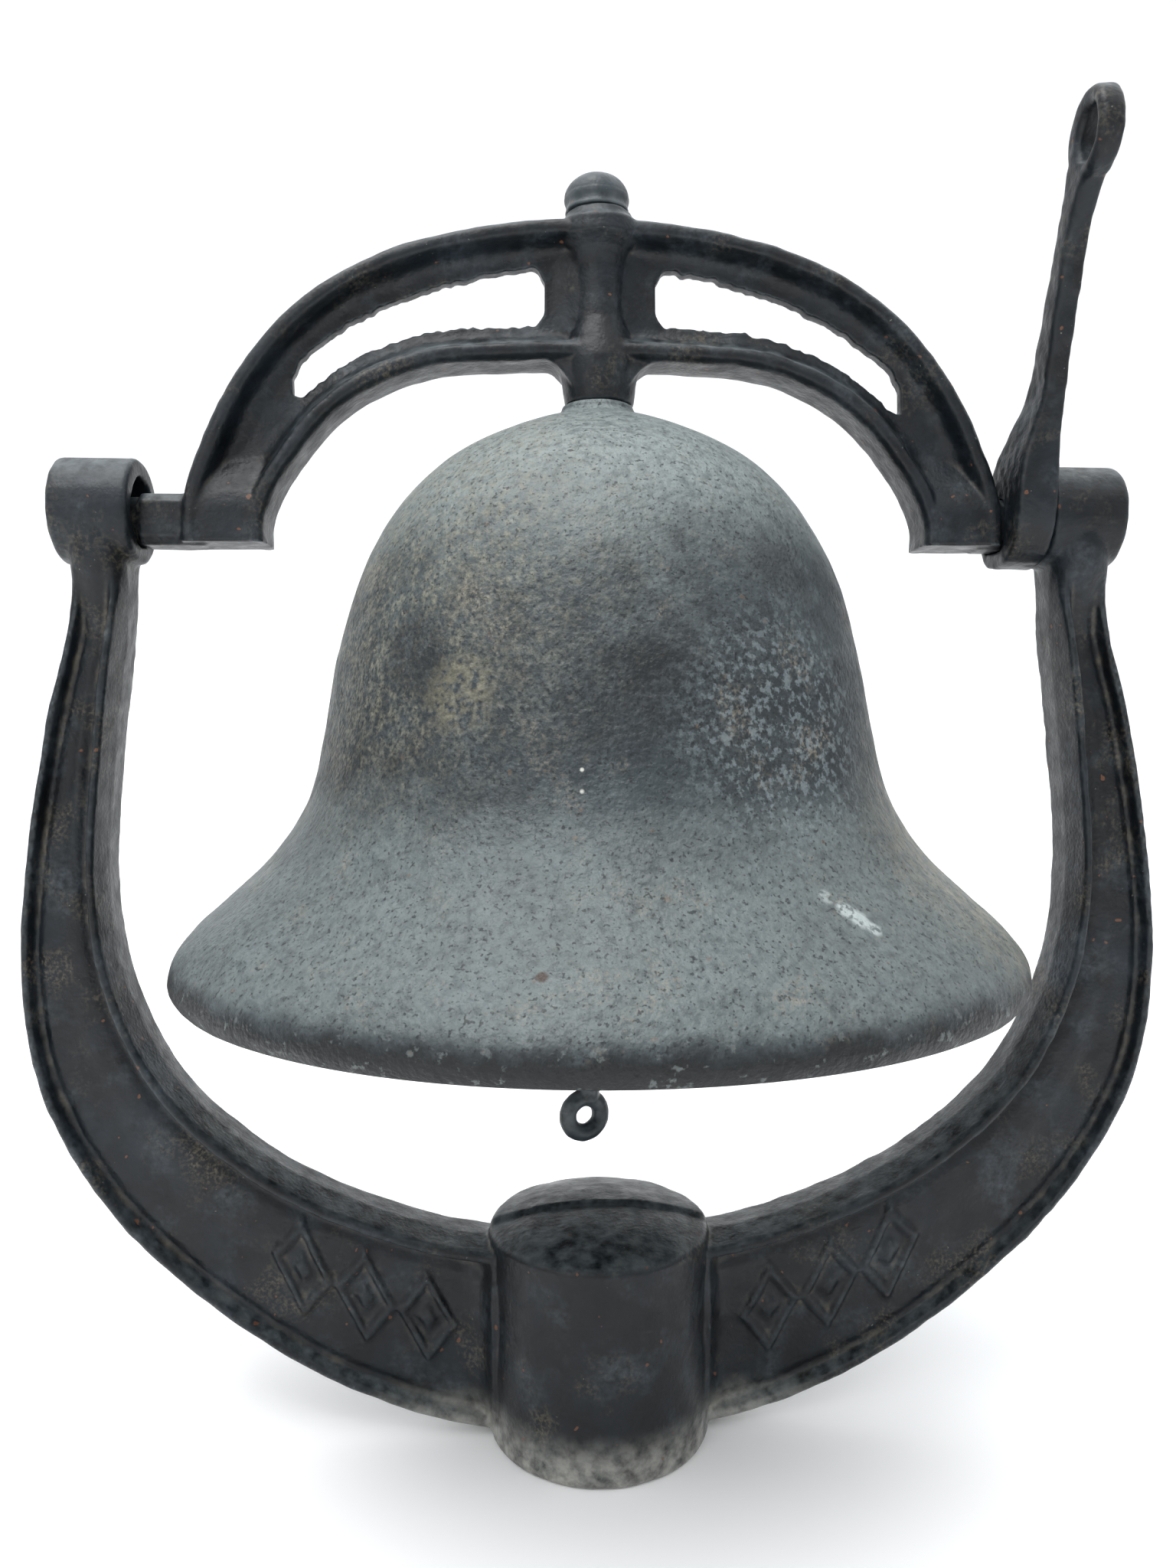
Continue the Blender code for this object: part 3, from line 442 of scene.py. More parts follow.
# ---------------------------------------------------------------- yoke
def yoke_outer():
    """Top of the arch as (share of the foot's end, share of the arch's rise)."""
    shares = ((0, 1.0), (0.276, 0.966), (0.424, 0.920), (0.583, 0.834), (0.735, 0.689),
              (0.860, 0.485), (0.952, 0.234), (0.990, 0.08), (0.997, 0.0), (0.997, -0.078))
    wide, tall = FOOT_END + 0.0010, YOKE_RISE + 0.0034  # spare for the rounding of the flange
    return [(x * wide, AXIS_Z + z * tall) for x, z in shares]


def yoke_inner():
    """Underside of the arch as (share of the foot's inner end, share of the underside's rise)."""
    shares = ((0, 1.0), (0.27, 0.992), (0.535, 0.935), (0.77, 0.693), (0.90, 0.40),
              (0.985, 0.10), (1.0, 0.0), (1.0, -0.146))
    wide, tall = FOOT_INNER - 0.0034, ARCH_RISE - 0.0014
    return [(x * wide, AXIS_Z + z * tall) for x, z in shares]


def height_at(points, x):
    """Height of a half outline at a distance from the middle."""
    dense = half_curve(points, 200)
    order = np.argsort(dense[:, 0])
    return np.interp(x, dense[order, 0], dense[order, 1])


def window_cutter(side, near, far, seed):
    """One window of the arch from near to far along X, with the rough flash of casting.

    Its top is the arch's top less a margin, its bottom the arch's underside plus a margin that
    grows as share^6 towards the far end; corners are rounded by a cubic step squared.
    """
    x = np.linspace(near, far, 90)
    share = np.linspace(0, 1, 90)
    top = height_at(yoke_outer(), x) - 0.0260 - 0.0078 * share
    low = height_at(yoke_inner(), x) + 0.0256 + 0.0165 * share**6
    low = np.minimum(low, top - 0.011)
    corner_near = 0.010 * (1 - step(0, 0.008, x - x[0])) ** 2
    corner_far = 0.006 * step(-0.010, 0, x - x[-1]) ** 2
    outline = np.vstack([np.column_stack([x, top - corner_near - corner_far]),
                         np.column_stack([x, low + 0.8 * corner_near + 0.9 * corner_far])[::-1]])
    rough = lumps(np.column_stack([outline, np.zeros(len(outline))]), 0.0075, seed)
    rough += 0.6 * lumps(np.column_stack([outline, np.zeros(len(outline))]), 0.0035, seed + 1)
    outline[:, 1] += 0.0007 * rough
    rings = [np.column_stack([side * outline[:, 0], np.full(len(outline), y), outline[:, 1]])
             for y in (-0.04, 0.04)]
    return shell(rings)


def yoke_depths(across, width, z):
    """Half depth of the yoke at a distance across it.

    A table of (distance, half depth) gives a rounded flange and its cove at either edge, and
    the web between them thickens to the foot by a cubic step of the height.
    """
    steps = (0.0, 0.0004, 0.0016, 0.0036, 0.0060, 0.0085,
             0.0105, 0.0122, 0.0137, 0.0158, 0.0195, 0.0245)
    rise = (0.0, 0.0150, 0.0185, 0.0205, 0.0210, 0.0210,
            0.0200, 0.0172, 0.0126, 0.0088, 0.0064, 0.0050)
    tight = min(1.0, width / 0.052)
    near = np.interp(across / tight, steps, rise)
    far = np.interp((width - across) / tight, steps, rise)
    flanges = np.where(across < width / 2, near, far)
    ramp = WEB_HALF + 0.0154 * (1 - step(AXIS_Z + 0.006, AXIS_Z + 0.050, z))
    edge = np.minimum(step(0, 0.003, across), step(0, 0.003, width - across))
    return np.maximum(flanges, ramp * edge)


def yoke_ring(inner, outer):
    """One closed section of the yoke across both flanges: its front, then its back."""
    width = np.linalg.norm(outer - inner)
    share = (1 - np.cos(np.linspace(0, pi, 64))) / 2
    spot = inner + (outer - inner) * share[:, None]
    depth = yoke_depths(share * width, width, spot[:, 1])
    front = np.column_stack([spot[:, 0], -depth, spot[:, 1]])
    back = np.column_stack([spot[:, 0], depth, spot[:, 1]])[-2:0:-1]
    return np.vstack([front, back])


def yoke_frame():
    """Both arches and the web between them as one sweep from foot to foot, less the windows."""
    count = 150
    inner, outer = half_curve(yoke_inner(), count), half_curve(yoke_outer(), count)
    half = [yoke_ring(i, o) for i, o in zip(inner, outer)]
    rings = [ring * (-1, 1, 1) for ring in half[:0:-1]] + half
    left, right = window_cutter(-1, 0.0352, 0.2015, 11), window_cutter(1, 0.0388, 0.2058, 17)
    return cut(shell(rings), [left, right])


def hub_shell():
    """The hub: a cone above the arch, a barrel between the flanges, and a neck over the bell."""
    top, under = AXIS_Z + YOKE_RISE, AXIS_Z + ARCH_RISE
    points = [(0.0005, HUB_TOP), (0.0205, HUB_TOP), (0.0220, HUB_TOP - 0.0012),
              (0.0236, HUB_TOP - 0.005), (0.0285, top + 0.002), (0.0290, top - 0.008),
              (0.0215, top - 0.016), (0.0180, top - 0.026), (0.0172, top - 0.045),
              (0.0182, top - 0.060), (0.0215, top - 0.070), (0.0245, under + 0.008),
              (0.0262, under), (0.0258, under - 0.008), (0.0246, under - 0.015),
              (0.0238, AXIS_Z + CROWN_RISE + 0.006), (0.0232, AXIS_Z + CROWN_RISE + 0.0008),
              (0.0225, AXIS_Z + CROWN_RISE), (0.0005, AXIS_Z + CROWN_RISE)]
    return moved(turned(points, 72), (HUB_SHIFT, 0, 0))


def hub_ribs():
    """The web swells beside the barrel: half depth 4.8 mm + 9 mm cos^2 of the distance."""
    x = np.linspace(-0.034, 0.034, 33)
    depth = WEB_HALF + 0.009 * np.cos(pi / 2 * x / 0.034) ** 2
    low, high = AXIS_Z + ARCH_RISE + 0.005, AXIS_Z + YOKE_RISE - 0.006
    rings = [[(px, -d, low), (px, -d, high), (px, d, high), (px, d, low)]
             for px, d in zip(x, depth)]
    return shell(rings)


def neck_fillets():
    """The web's lower edge sweeps down into the neck: its drop is (1 - distance)^2.6."""
    x = np.linspace(-0.046, 0.046, 41)
    away = np.maximum(np.abs(x - HUB_SHIFT) - 0.020, 0) / 0.023
    low = AXIS_Z + ARCH_RISE - 0.016 * np.clip(1 - away, 0, 1) ** 2.6
    rings = []
    for px, pz in zip(x, low):
        depth = 0.019 * np.sqrt(np.clip(1 - (px / 0.050) ** 2, 0.02, 1))
        rings.append([(px, -depth, pz), (px, -depth, AXIS_Z + ARCH_RISE + 0.012),
                      (px, depth, AXIS_Z + ARCH_RISE + 0.012), (px, depth, pz)])
    return shell(rings)


def seat_section(spare=0.0):
    """The square of the crank seat with its chamfers, as (y, z) points, grown by a spare."""
    half, flat = SEAT_HALF + spare, SEAT_HALF - SEAT_CHAMFER + spare
    return np.array([(half, -flat), (half, flat), (flat, half), (-flat, half), (-half, flat),
                     (-half, -flat), (-flat, -half), (flat, -half)])


def seat_shell(side):
    """The square crank seat with wide chamfers, running out of the foot towards the journal."""
    ends = sorted((side * (FOOT_END - 0.015), side * SEAT_END))
    return moved(bar(seat_section(), *ends), (0, 0, AXIS_Z))


def journal_shell(side):
    """The round journal that turns in the boss's bore."""
    start, end = SEAT_END - 0.010, BOSS_END - 0.005
    profile = [(JOURNAL_RADIUS, start), (JOURNAL_RADIUS, end - 0.0015),
               (JOURNAL_RADIUS - 0.0015, end)]
    if side < 0:
        profile = [(r, -x) for r, x in profile[::-1]]
    return moved(turned(profile, 64, axis="X"), (0, 0, AXIS_Z))


def build_yoke(material):
    """The arch, hub, feet, crank seats and journals as one casting."""
    parts = [yoke_frame(), hub_shell(), hub_ribs(), neck_fillets()]
    for side in (-1, 1):
        parts += [seat_shell(side), journal_shell(side)]
    obj = fused("yoke_casting", parts, 0.0012, 6, 190000)
    cast_surface(obj, ((0.00022, 0.026, 5), (0.00010, 0.010, 6)))
    finish_piece(obj, "yoke", ["yoke"], material)
    return obj


# ---------------------------------------------------------------- bell
def bell_outer_profile():
    """Outer profile from the crown seat down to the lip: dome, waist, then the flare."""
    tall = CROWN_Z - RIM_Z
    points = [(0.0355, tall - 0.0100), (0.0675, tall - 0.0220), (0.1035, tall - 0.0420),
              (0.1290, tall - 0.0670), (0.1500, 0.280), (0.1724, 0.212), (0.1814, 0.162),
              (0.1922, 0.120), (0.2145, 0.0846), (0.2442, 0.0554), (0.2667, 0.0348),
              (0.2773, 0.0200), (MOUTH_RADIUS - 0.0002, 0.0095)]
    return smooth_curve(points, 170)


def build_bell(material):
    """The bell: its profile turned about Z, with the wall's inner side offset along the normal."""
    outer = bell_outer_profile()
    slope = np.gradient(outer, axis=0)
    normal = np.stack([slope[:, 1], -slope[:, 0]], axis=1)
    normal /= np.linalg.norm(normal, axis=1)[:, None]
    wall = 0.0072 + 0.0053 * np.clip(1 - outer[:, 1:2] / 0.162, 0, 1)
    inner = outer + normal * wall
    inner = inner[(inner[:, 1] > 0.012) & (inner[:, 0] > 0.028)][::-2]
    tall = CROWN_Z - RIM_Z
    inner[:, 1] = np.minimum(inner[:, 1], tall - 0.0145)
    lip = [(MOUTH_RADIUS - 0.0006, 0.0068), (MOUTH_RADIUS - 0.0018, 0.0040),
           (MOUTH_RADIUS - 0.0035, 0.0015), (MOUTH_RADIUS - 0.0060, 0.0001),
           (MOUTH_RADIUS - 0.0105, 0.0), (MOUTH_RADIUS - 0.0135, 0.0018)]
    seat = [(0.0098, tall), (0.0222, tall), (0.0236, tall - 0.0008), (0.0244, tall - 0.0030),
            (0.0262, tall - 0.0060), (0.0300, tall - 0.0082)]
    section = np.vstack([seat, outer, lip, inner, [(0.027, tall - 0.014), (0.0098, tall - 0.014)]])
    section[:, 1] += RIM_Z
    verts, faces = turned(section, 360, loop=True)
    outside = np.arange(len(verts)) < (len(seat) + len(outer) + 3) * 360
    push = 0.00035 * lumps(verts, 0.075, 21) + 0.00012 * lumps(verts, 0.018, 22)
    radius = np.linalg.norm(verts[:, :2], axis=1)[:, None]
    verts[:, :2] *= 1 + (push * outside)[:, None] / np.maximum(radius, 0.03)
    obj = to_object("bell_casting", verts, faces)
    point_outwards(obj)
    finish_piece(obj, "yoke", ["bell"], material)
    return obj


# ---------------------------------------------------------------- crown nut
def build_nut(material):
    """The domed cap nut: a dome, a soft lip, a sunk band and a thin foot on the hub."""
    base, tall, r = NUT_LOW.z, NUT_HIGH.z - NUT_LOW.z, NUT_HIGH.y
    up = np.linspace(0.999, 0.02, 30)
    foot = 0.0105
    dome = [(0.985 * r * (1 - h**2.0) ** 0.66, base + foot + (tall - foot) * h) for h in up]
    rest = [(0.997 * r, base + 0.0100), (r, base + 0.0085), (0.985 * r, base + 0.0070),
            (0.960 * r, base + 0.0058), (0.955 * r, base + 0.0040), (0.975 * r, base + 0.0024),
            (1.0 * r, base + 0.0012), (0.985 * r, base + 0.0003), (0.95 * r, base + 0.0001),
            (0.0098, base + 0.0001)]
    verts, faces = turned(dome + rest, 96)
    spread = np.linalg.norm(verts[:, :2], axis=1)
    verts[:, :2] *= (1 + 0.00035 * lumps(verts, 0.016, 31) / np.maximum(spread, 0.01))[:, None]
    obj = to_object("nut_casting", verts, faces)
    point_outwards(obj)
    smooth = obj.modifiers.new("round", "SUBSURF")
    smooth.levels = smooth.render_levels = 1
    settle(obj)
    finish_piece(obj, "yoke", ["crown_nut"], material)
    return obj


# ---------------------------------------------------------------- crank
CRANK_LEAN = radians(23)
CRANK_LENGTH = 0.238
LEVER_THICKNESS = 0.0150
EYE_MIDDLE = np.array([-0.007, CRANK_LENGTH])  # of the rope eye's rim, as (y, z) before the lean
HOLE_MIDDLE = np.array([-0.010, CRANK_LENGTH])


def crank_edges(z):
    """The lever's front and back edges at each height before the lean: hub, taper, stem, eye."""
    front = smooth_curve([(-0.0002, -0.0282), (-0.0112, -0.0262), (-0.0215, -0.0212),
                          (-0.0320, -0.0110), (-0.0375, 0.0060), (-0.0360, 0.0260),
                          (-0.0292, 0.0450), (-0.0220, 0.0650), (-0.0180, 0.0910),
                          (-0.0140, 0.1200), (-0.0115, 0.1500), (-0.0108, 0.1950),
                          (-0.0155, 0.2120), (-0.0245, 0.2230)], 200)
    back = smooth_curve([(0.0002, -0.0282), (0.0105, -0.0260), (0.0200, -0.0197),
                         (0.0262, -0.0100), (0.0282, 0.0010), (0.0258, 0.0150),
                         (0.0182, 0.0370), (0.0128, 0.0700), (0.0108, 0.1100),
                         (0.0106, 0.2000), (0.0110, 0.2230)], 200)
    return np.interp(z, front[:, 1], front[:, 0]), np.interp(z, back[:, 1], back[:, 0])


def crank_lever():
    """Hub and stem in one: rounded sections between both edges, thinning on the inner side."""
    z = np.concatenate([-0.0280 * np.cos(np.linspace(0, pi / 2, 14, endpoint=False)),
                        np.linspace(0, 0.2225, 100)])
    front, back = crank_edges(z)
    outer = CRANK_HIGH.x
    inner = CRANK_LOW.x + (outer - LEVER_THICKNESS - CRANK_LOW.x) * step(0.032, 0.096, z)
    round_by = np.interp(z, (-0.03, -0.02, 0.03, 0.10), (0.0030, 0.0030, 0.0034, 0.0044))
    rings = []
    for height, y0, y1, x0, corner in zip(z, front, back, inner, round_by):
        half_x, half_y = (outer - x0) / 2, (y1 - y0) / 2
        section = rounded_corners(half_x, half_y, min(corner, 0.95 * half_y))
        rings.append(np.column_stack([section[:, 0] + x0 + half_x, section[:, 1] + (y0 + y1) / 2,
                                      np.full(len(section), height)]))
    return shell(rings)


def crank_eye():
    """The rope eye: a rounded section carried between an outer oval and the oval hole."""
    a = np.linspace(0, 2 * pi, 84, endpoint=False)[:, None]
    around = np.hstack([np.cos(a), np.sin(a)])
    rim = EYE_MIDDLE + around * (0.0228, 0.0262)
    hole = HOLE_MIDDLE + around * (0.0112, 0.0156)
    centre, half = (rim + hole) / 2, np.linalg.norm(rim - hole, axis=1) / 2
    ahead = (rim - hole) / (2 * half[:, None])
    middle = CRANK_HIGH.x - LEVER_THICKNESS / 2 - 0.0002
    rings = []
    for spot, way, reach in zip(centre, ahead, half):
        section = rounded_corners(LEVER_THICKNESS / 2 + 0.0003, reach, min(reach, 0.0046))
        rings.append(np.column_stack([middle + section[:, 0], spot + section[:, 1:] * way]))
    return shell(rings, loop=True)


def build_crank(material):
    """The crank: lever and rope eye, leaning forward, with a square hole for its seat."""
    lean = np.array(Matrix.Rotation(CRANK_LEAN, 3, "X"))
    verts, faces = crank_lever()
    ends = (CRANK_LOW.x - 0.01, CRANK_HIGH.x + 0.01)
    hole = np.array([[(x, y, z) for y, z in seat_section(0.0003)] for x in ends])
    lever = cut((verts @ lean.T, faces), [shell(hole)])
    verts, faces = crank_eye()
    parts = [lever, (verts @ lean.T, faces)]
    obj = fused("crank_casting", [moved(part, (0, 0, AXIS_Z)) for part in parts], 0.0009, 7, 120000)
    cast_surface(obj, ((0.00025, 0.022, 7), (0.00012, 0.008, 8)))
    finish_piece(obj, "yoke", ["crank_arm"], material)
    return obj


# ---------------------------------------------------------------- clapper
def build_clapper(material):
    """The forged clapper: flat tang, tapering stem, ball, and a tail bent into an eye."""
    ball_r, ball_z = 0.0350, RIM_Z + 0.015
    eye_ring, eye_wire = 0.0122, 0.0061
    eye_z = CLAPPER_LOW.z + 0.0177
    lean = 0.010
    top = PIN_Z - 0.010
    a = np.linspace(radians(74), radians(-78), 30)
    ball = np.column_stack([ball_r * np.cos(a), ball_z + ball_r * np.sin(a)])
    stem = smooth_curve([(0.0075, top), (0.0085, top - 0.05), (0.0092, ball_z + 0.09),
                         (0.0098, ball_z + ball_r + 0.004)], 40)
    z = np.linspace(ball_z - ball_r - 0.004, eye_z + eye_ring - 0.002, 40)
    tail = np.column_stack([0.0070 + 0.0040 * np.exp(-(z[0] - z) / 0.008), z])
    verts, faces = turned(np.vstack([stem, ball, tail]), 48)
    depth = np.clip((ball_z - ball_r - verts[:, 2]) / (ball_z - ball_r - eye_z), 0, 1)
    verts[:, 0] -= lean * depth**2
    t = np.linspace(0, 2 * pi, 60, endpoint=False)[:, None]
    w = np.linspace(0, 2 * pi, 20, endpoint=False)[None, :]
    reach = eye_ring + eye_wire * np.cos(w)
    ring = np.stack([reach * np.cos(t), eye_wire * np.sin(w) + 0 * t, reach * np.sin(t)], axis=-1)
    turn = np.array(Matrix.Rotation(radians(20), 3, "Z"))
    eye_verts, eye_faces = shell(ring, loop=True)
    eye = (eye_verts @ turn.T + (-lean, 0, eye_z), eye_faces)
    half = 0.0052
    tang = tube_shell(0.012, 0.0054, -half, half, 0.001)
    tang = moved(tang, (0, 0, PIN_Z))
    neck_z = np.linspace(PIN_Z - 0.028, PIN_Z - 0.0075, 8)
    neck = shell([[(sx * half, sy * 0.0082, pz) for sx, sy in ((1, 1), (-1, 1), (-1, -1), (1, -1))]
                  for pz in neck_z])
    obj = fused("clapper_forging", [(verts, faces), eye, tang, neck], 0.0010, 4, 90000)
    cast_surface(obj, ((0.00020, 0.018, 9), (0.00008, 0.006, 10)))
    finish_piece(obj, "clapper", ["clapper"], material)
    return obj


# ---------------------------------------------------------------- finishes
def linear(channel):
    """An sRGB channel of 0 to 1 as linear light."""
    return channel / 12.92 if channel <= 0.04045 else ((channel + 0.055) / 1.055) ** 2.4


def colour(hex_code):
    """A hex colour as linear RGBA."""
    return tuple(linear(int(hex_code[i:i + 2], 16) / 255) for i in (0, 2, 4)) + (1.0,)


def add(tree, kind, inputs, **settings):
    """Adds one node: sets its properties, then sets each input or links a socket to it."""
    node = tree.nodes.new("ShaderNode" + kind)
    for key, value in settings.items():
        setattr(node, key, value)
    for key, value in inputs.items():
        if isinstance(value, bpy.types.NodeSocket):
            tree.links.new(value, node.inputs[key])
        else:
            node.inputs[key].default_value = value
    return node


def new_finish(name):
    """A material with its node tree and its Principled shader."""
    material = bpy.data.materials.new(name)
    material.use_nodes = True
    return material, material.node_tree, material.node_tree.nodes["Principled BSDF"]


MIX_FACTOR, MIX_A, MIX_B, MIX_RESULT = 0, 6, 7, 2  # sockets of a Mix node set to colours


def blended(tree, under, over, share):
    """One colour laid over another by a share."""
    over = colour(over) if isinstance(over, str) else over
    under = colour(under) if isinstance(under, str) else under
    inputs = {MIX_FACTOR: share, MIX_A: under, MIX_B: over}
    return add(tree, "Mix", inputs, data_type="RGBA").outputs[MIX_RESULT]


def patches(tree, spots, across_mm, low, high, detail=4.0, rough=0.6, strength=1.0):
    """Noise patches of a size in mm, 0 below one level and full above the other."""
    inputs = {"Vector": spots, "Scale": 1000 / across_mm, "Detail": detail, "Roughness": rough}
    noise = add(tree, "TexNoise", inputs)
    levels = {"Value": noise.outputs["Fac"], "From Min": low, "From Max": high, "To Max": strength}
    return add(tree, "MapRange", levels).outputs[0]


def product(tree, first, second):
    """Two shares multiplied."""
    return add(tree, "Math", {0: first, 1: second}, operation="MULTIPLY").outputs[0]


def mark(tree, spots, centre, size, soft=0.5):
    """A round mark on the surface: 1 inside a radius about a place, fading to 0 outside it."""
    away = add(tree, "VectorMath", {0: spots, 1: centre}, operation="DISTANCE")
    levels = {"Value": away.outputs["Value"],
              "From Min": size * (1 + soft), "From Max": size * (1 - soft)}
    return add(tree, "MapRange", levels, interpolation_type="SMOOTHSTEP").outputs[0]


def ramp(tree, value, low, high, strength=1.0):
    """A smooth step of a value: 0 at low, the strength at high, whichever of them is greater."""
    levels = {"Value": value, "From Min": low, "From Max": high, "To Max": strength}
    return add(tree, "MapRange", levels, interpolation_type="SMOOTHSTEP").outputs[0]


def sand_relief(tree, spots, layers):
    """Bumps of sand-cast iron: a (size in mm, height in mm) layer each, one bump on the next."""
    normal = None
    for across_mm, height_mm in layers:
        inputs = {"Vector": spots, "Scale": 1000 / across_mm, "Detail": 2.0, "Roughness": 0.5}
        noise = add(tree, "TexNoise", inputs)
        bump = {"Height": noise.outputs["Fac"], "Distance": height_mm * MM, "Strength": 1.0}
        if normal is not None:
            bump["Normal"] = normal
        normal = add(tree, "Bump", bump).outputs[0]
    return normal


def painted_cast_iron(name, deep, worn, dust, splashed=0.0):
    """Thin black paint on sand-cast iron, brushed on and weathered.

    It gives a blue-black that painted sky light turns grey on up-facing surfaces, rubbed to bare
    grey on edges, with earth-brown dust held in corners and a fine sand grain under the paint.
    """
    material, tree, shader = new_finish(name)
    place = add(tree, "TexCoord", {})
    spots = place.outputs["Object"]
    shape = add(tree, "NewGeometry", {}).outputs["Pointiness"]
    up = add(tree, "SeparateXYZ", {0: place.outputs["Normal"]}).outputs["Z"]
    tone = blended(tree, deep, worn, patches(tree, spots, 55, 0.42, 0.68, strength=0.8))
    tone = blended(tree, tone, "05080b", patches(tree, spots, 21, 0.50, 0.64, strength=0.7))
    haze = product(tree, patches(tree, spots, 34, 0.50, 0.70),
                   patches(tree, spots, 4.5, 0.34, 0.66, strength=0.6))
    tone = blended(tree, tone, "3d454b", haze)
    # painted sky light: up-facing surfaces lightened to grey in patches, as the overcast sky lights
    # them
    sky = product(tree, ramp(tree, up, 0.35, 0.98),
                  patches(tree, spots, 12, 0.34, 0.64, strength=0.7))
    tone = blended(tree, tone, "626a6d", sky)
    rubbed = product(tree, ramp(tree, shape, 0.512, 0.57),
                     patches(tree, spots, 7, 0.36, 0.62, strength=0.8))
    tone = blended(tree, tone, "4f575b", rubbed)
    corner = product(tree, ramp(tree, shape, 0.494, 0.45),
                     patches(tree, spots, 17, 0.42, 0.66, strength=dust))
    tone = blended(tree, tone, "6a6252", corner)
    earth = product(tree, patches(tree, spots, 48, 0.54, 0.72, strength=0.5),
                    patches(tree, spots, 2.6, 0.46, 0.66))
    tone = blended(tree, tone, "6c6453", earth)
    height = add(tree, "SeparateXYZ", {0: spots}).outputs["Z"]
    splash = product(tree, ramp(tree, height, SOCKET_FOOT + 0.040, SOCKET_FOOT + 0.006, splashed),
                     patches(tree, spots, 11, 0.26, 0.62))
    tone = blended(tree, tone, "a2a29b", splash)
    rust = patches(tree, spots, 7.0, 0.752, 0.775, detail=1.0, strength=0.6)
    tone = blended(tree, tone, "6b4530", rust)
    chips = product(tree, patches(tree, spots, 45, 0.54, 0.62),
                    patches(tree, spots, 2.8, 0.69, 0.72, strength=0.5))
    tone = blended(tree, tone, "8a8a82", chips)
    gloss = patches(tree, spots, 14, 0.3, 0.7, strength=0.22)
    gloss = add(tree, "Math", {0: gloss, 1: 0.30}, operation="ADD").outputs[0]
    tree.links.new(tone, shader.inputs["Base Color"])
    tree.links.new(gloss, shader.inputs["Roughness"])
    shader.inputs["Specular IOR Level"].default_value = 0.30
    tree.links.new(sand_relief(tree, spots, ((9.0, 0.5), (2.6, 0.30))), shader.inputs["Normal"])
    return material


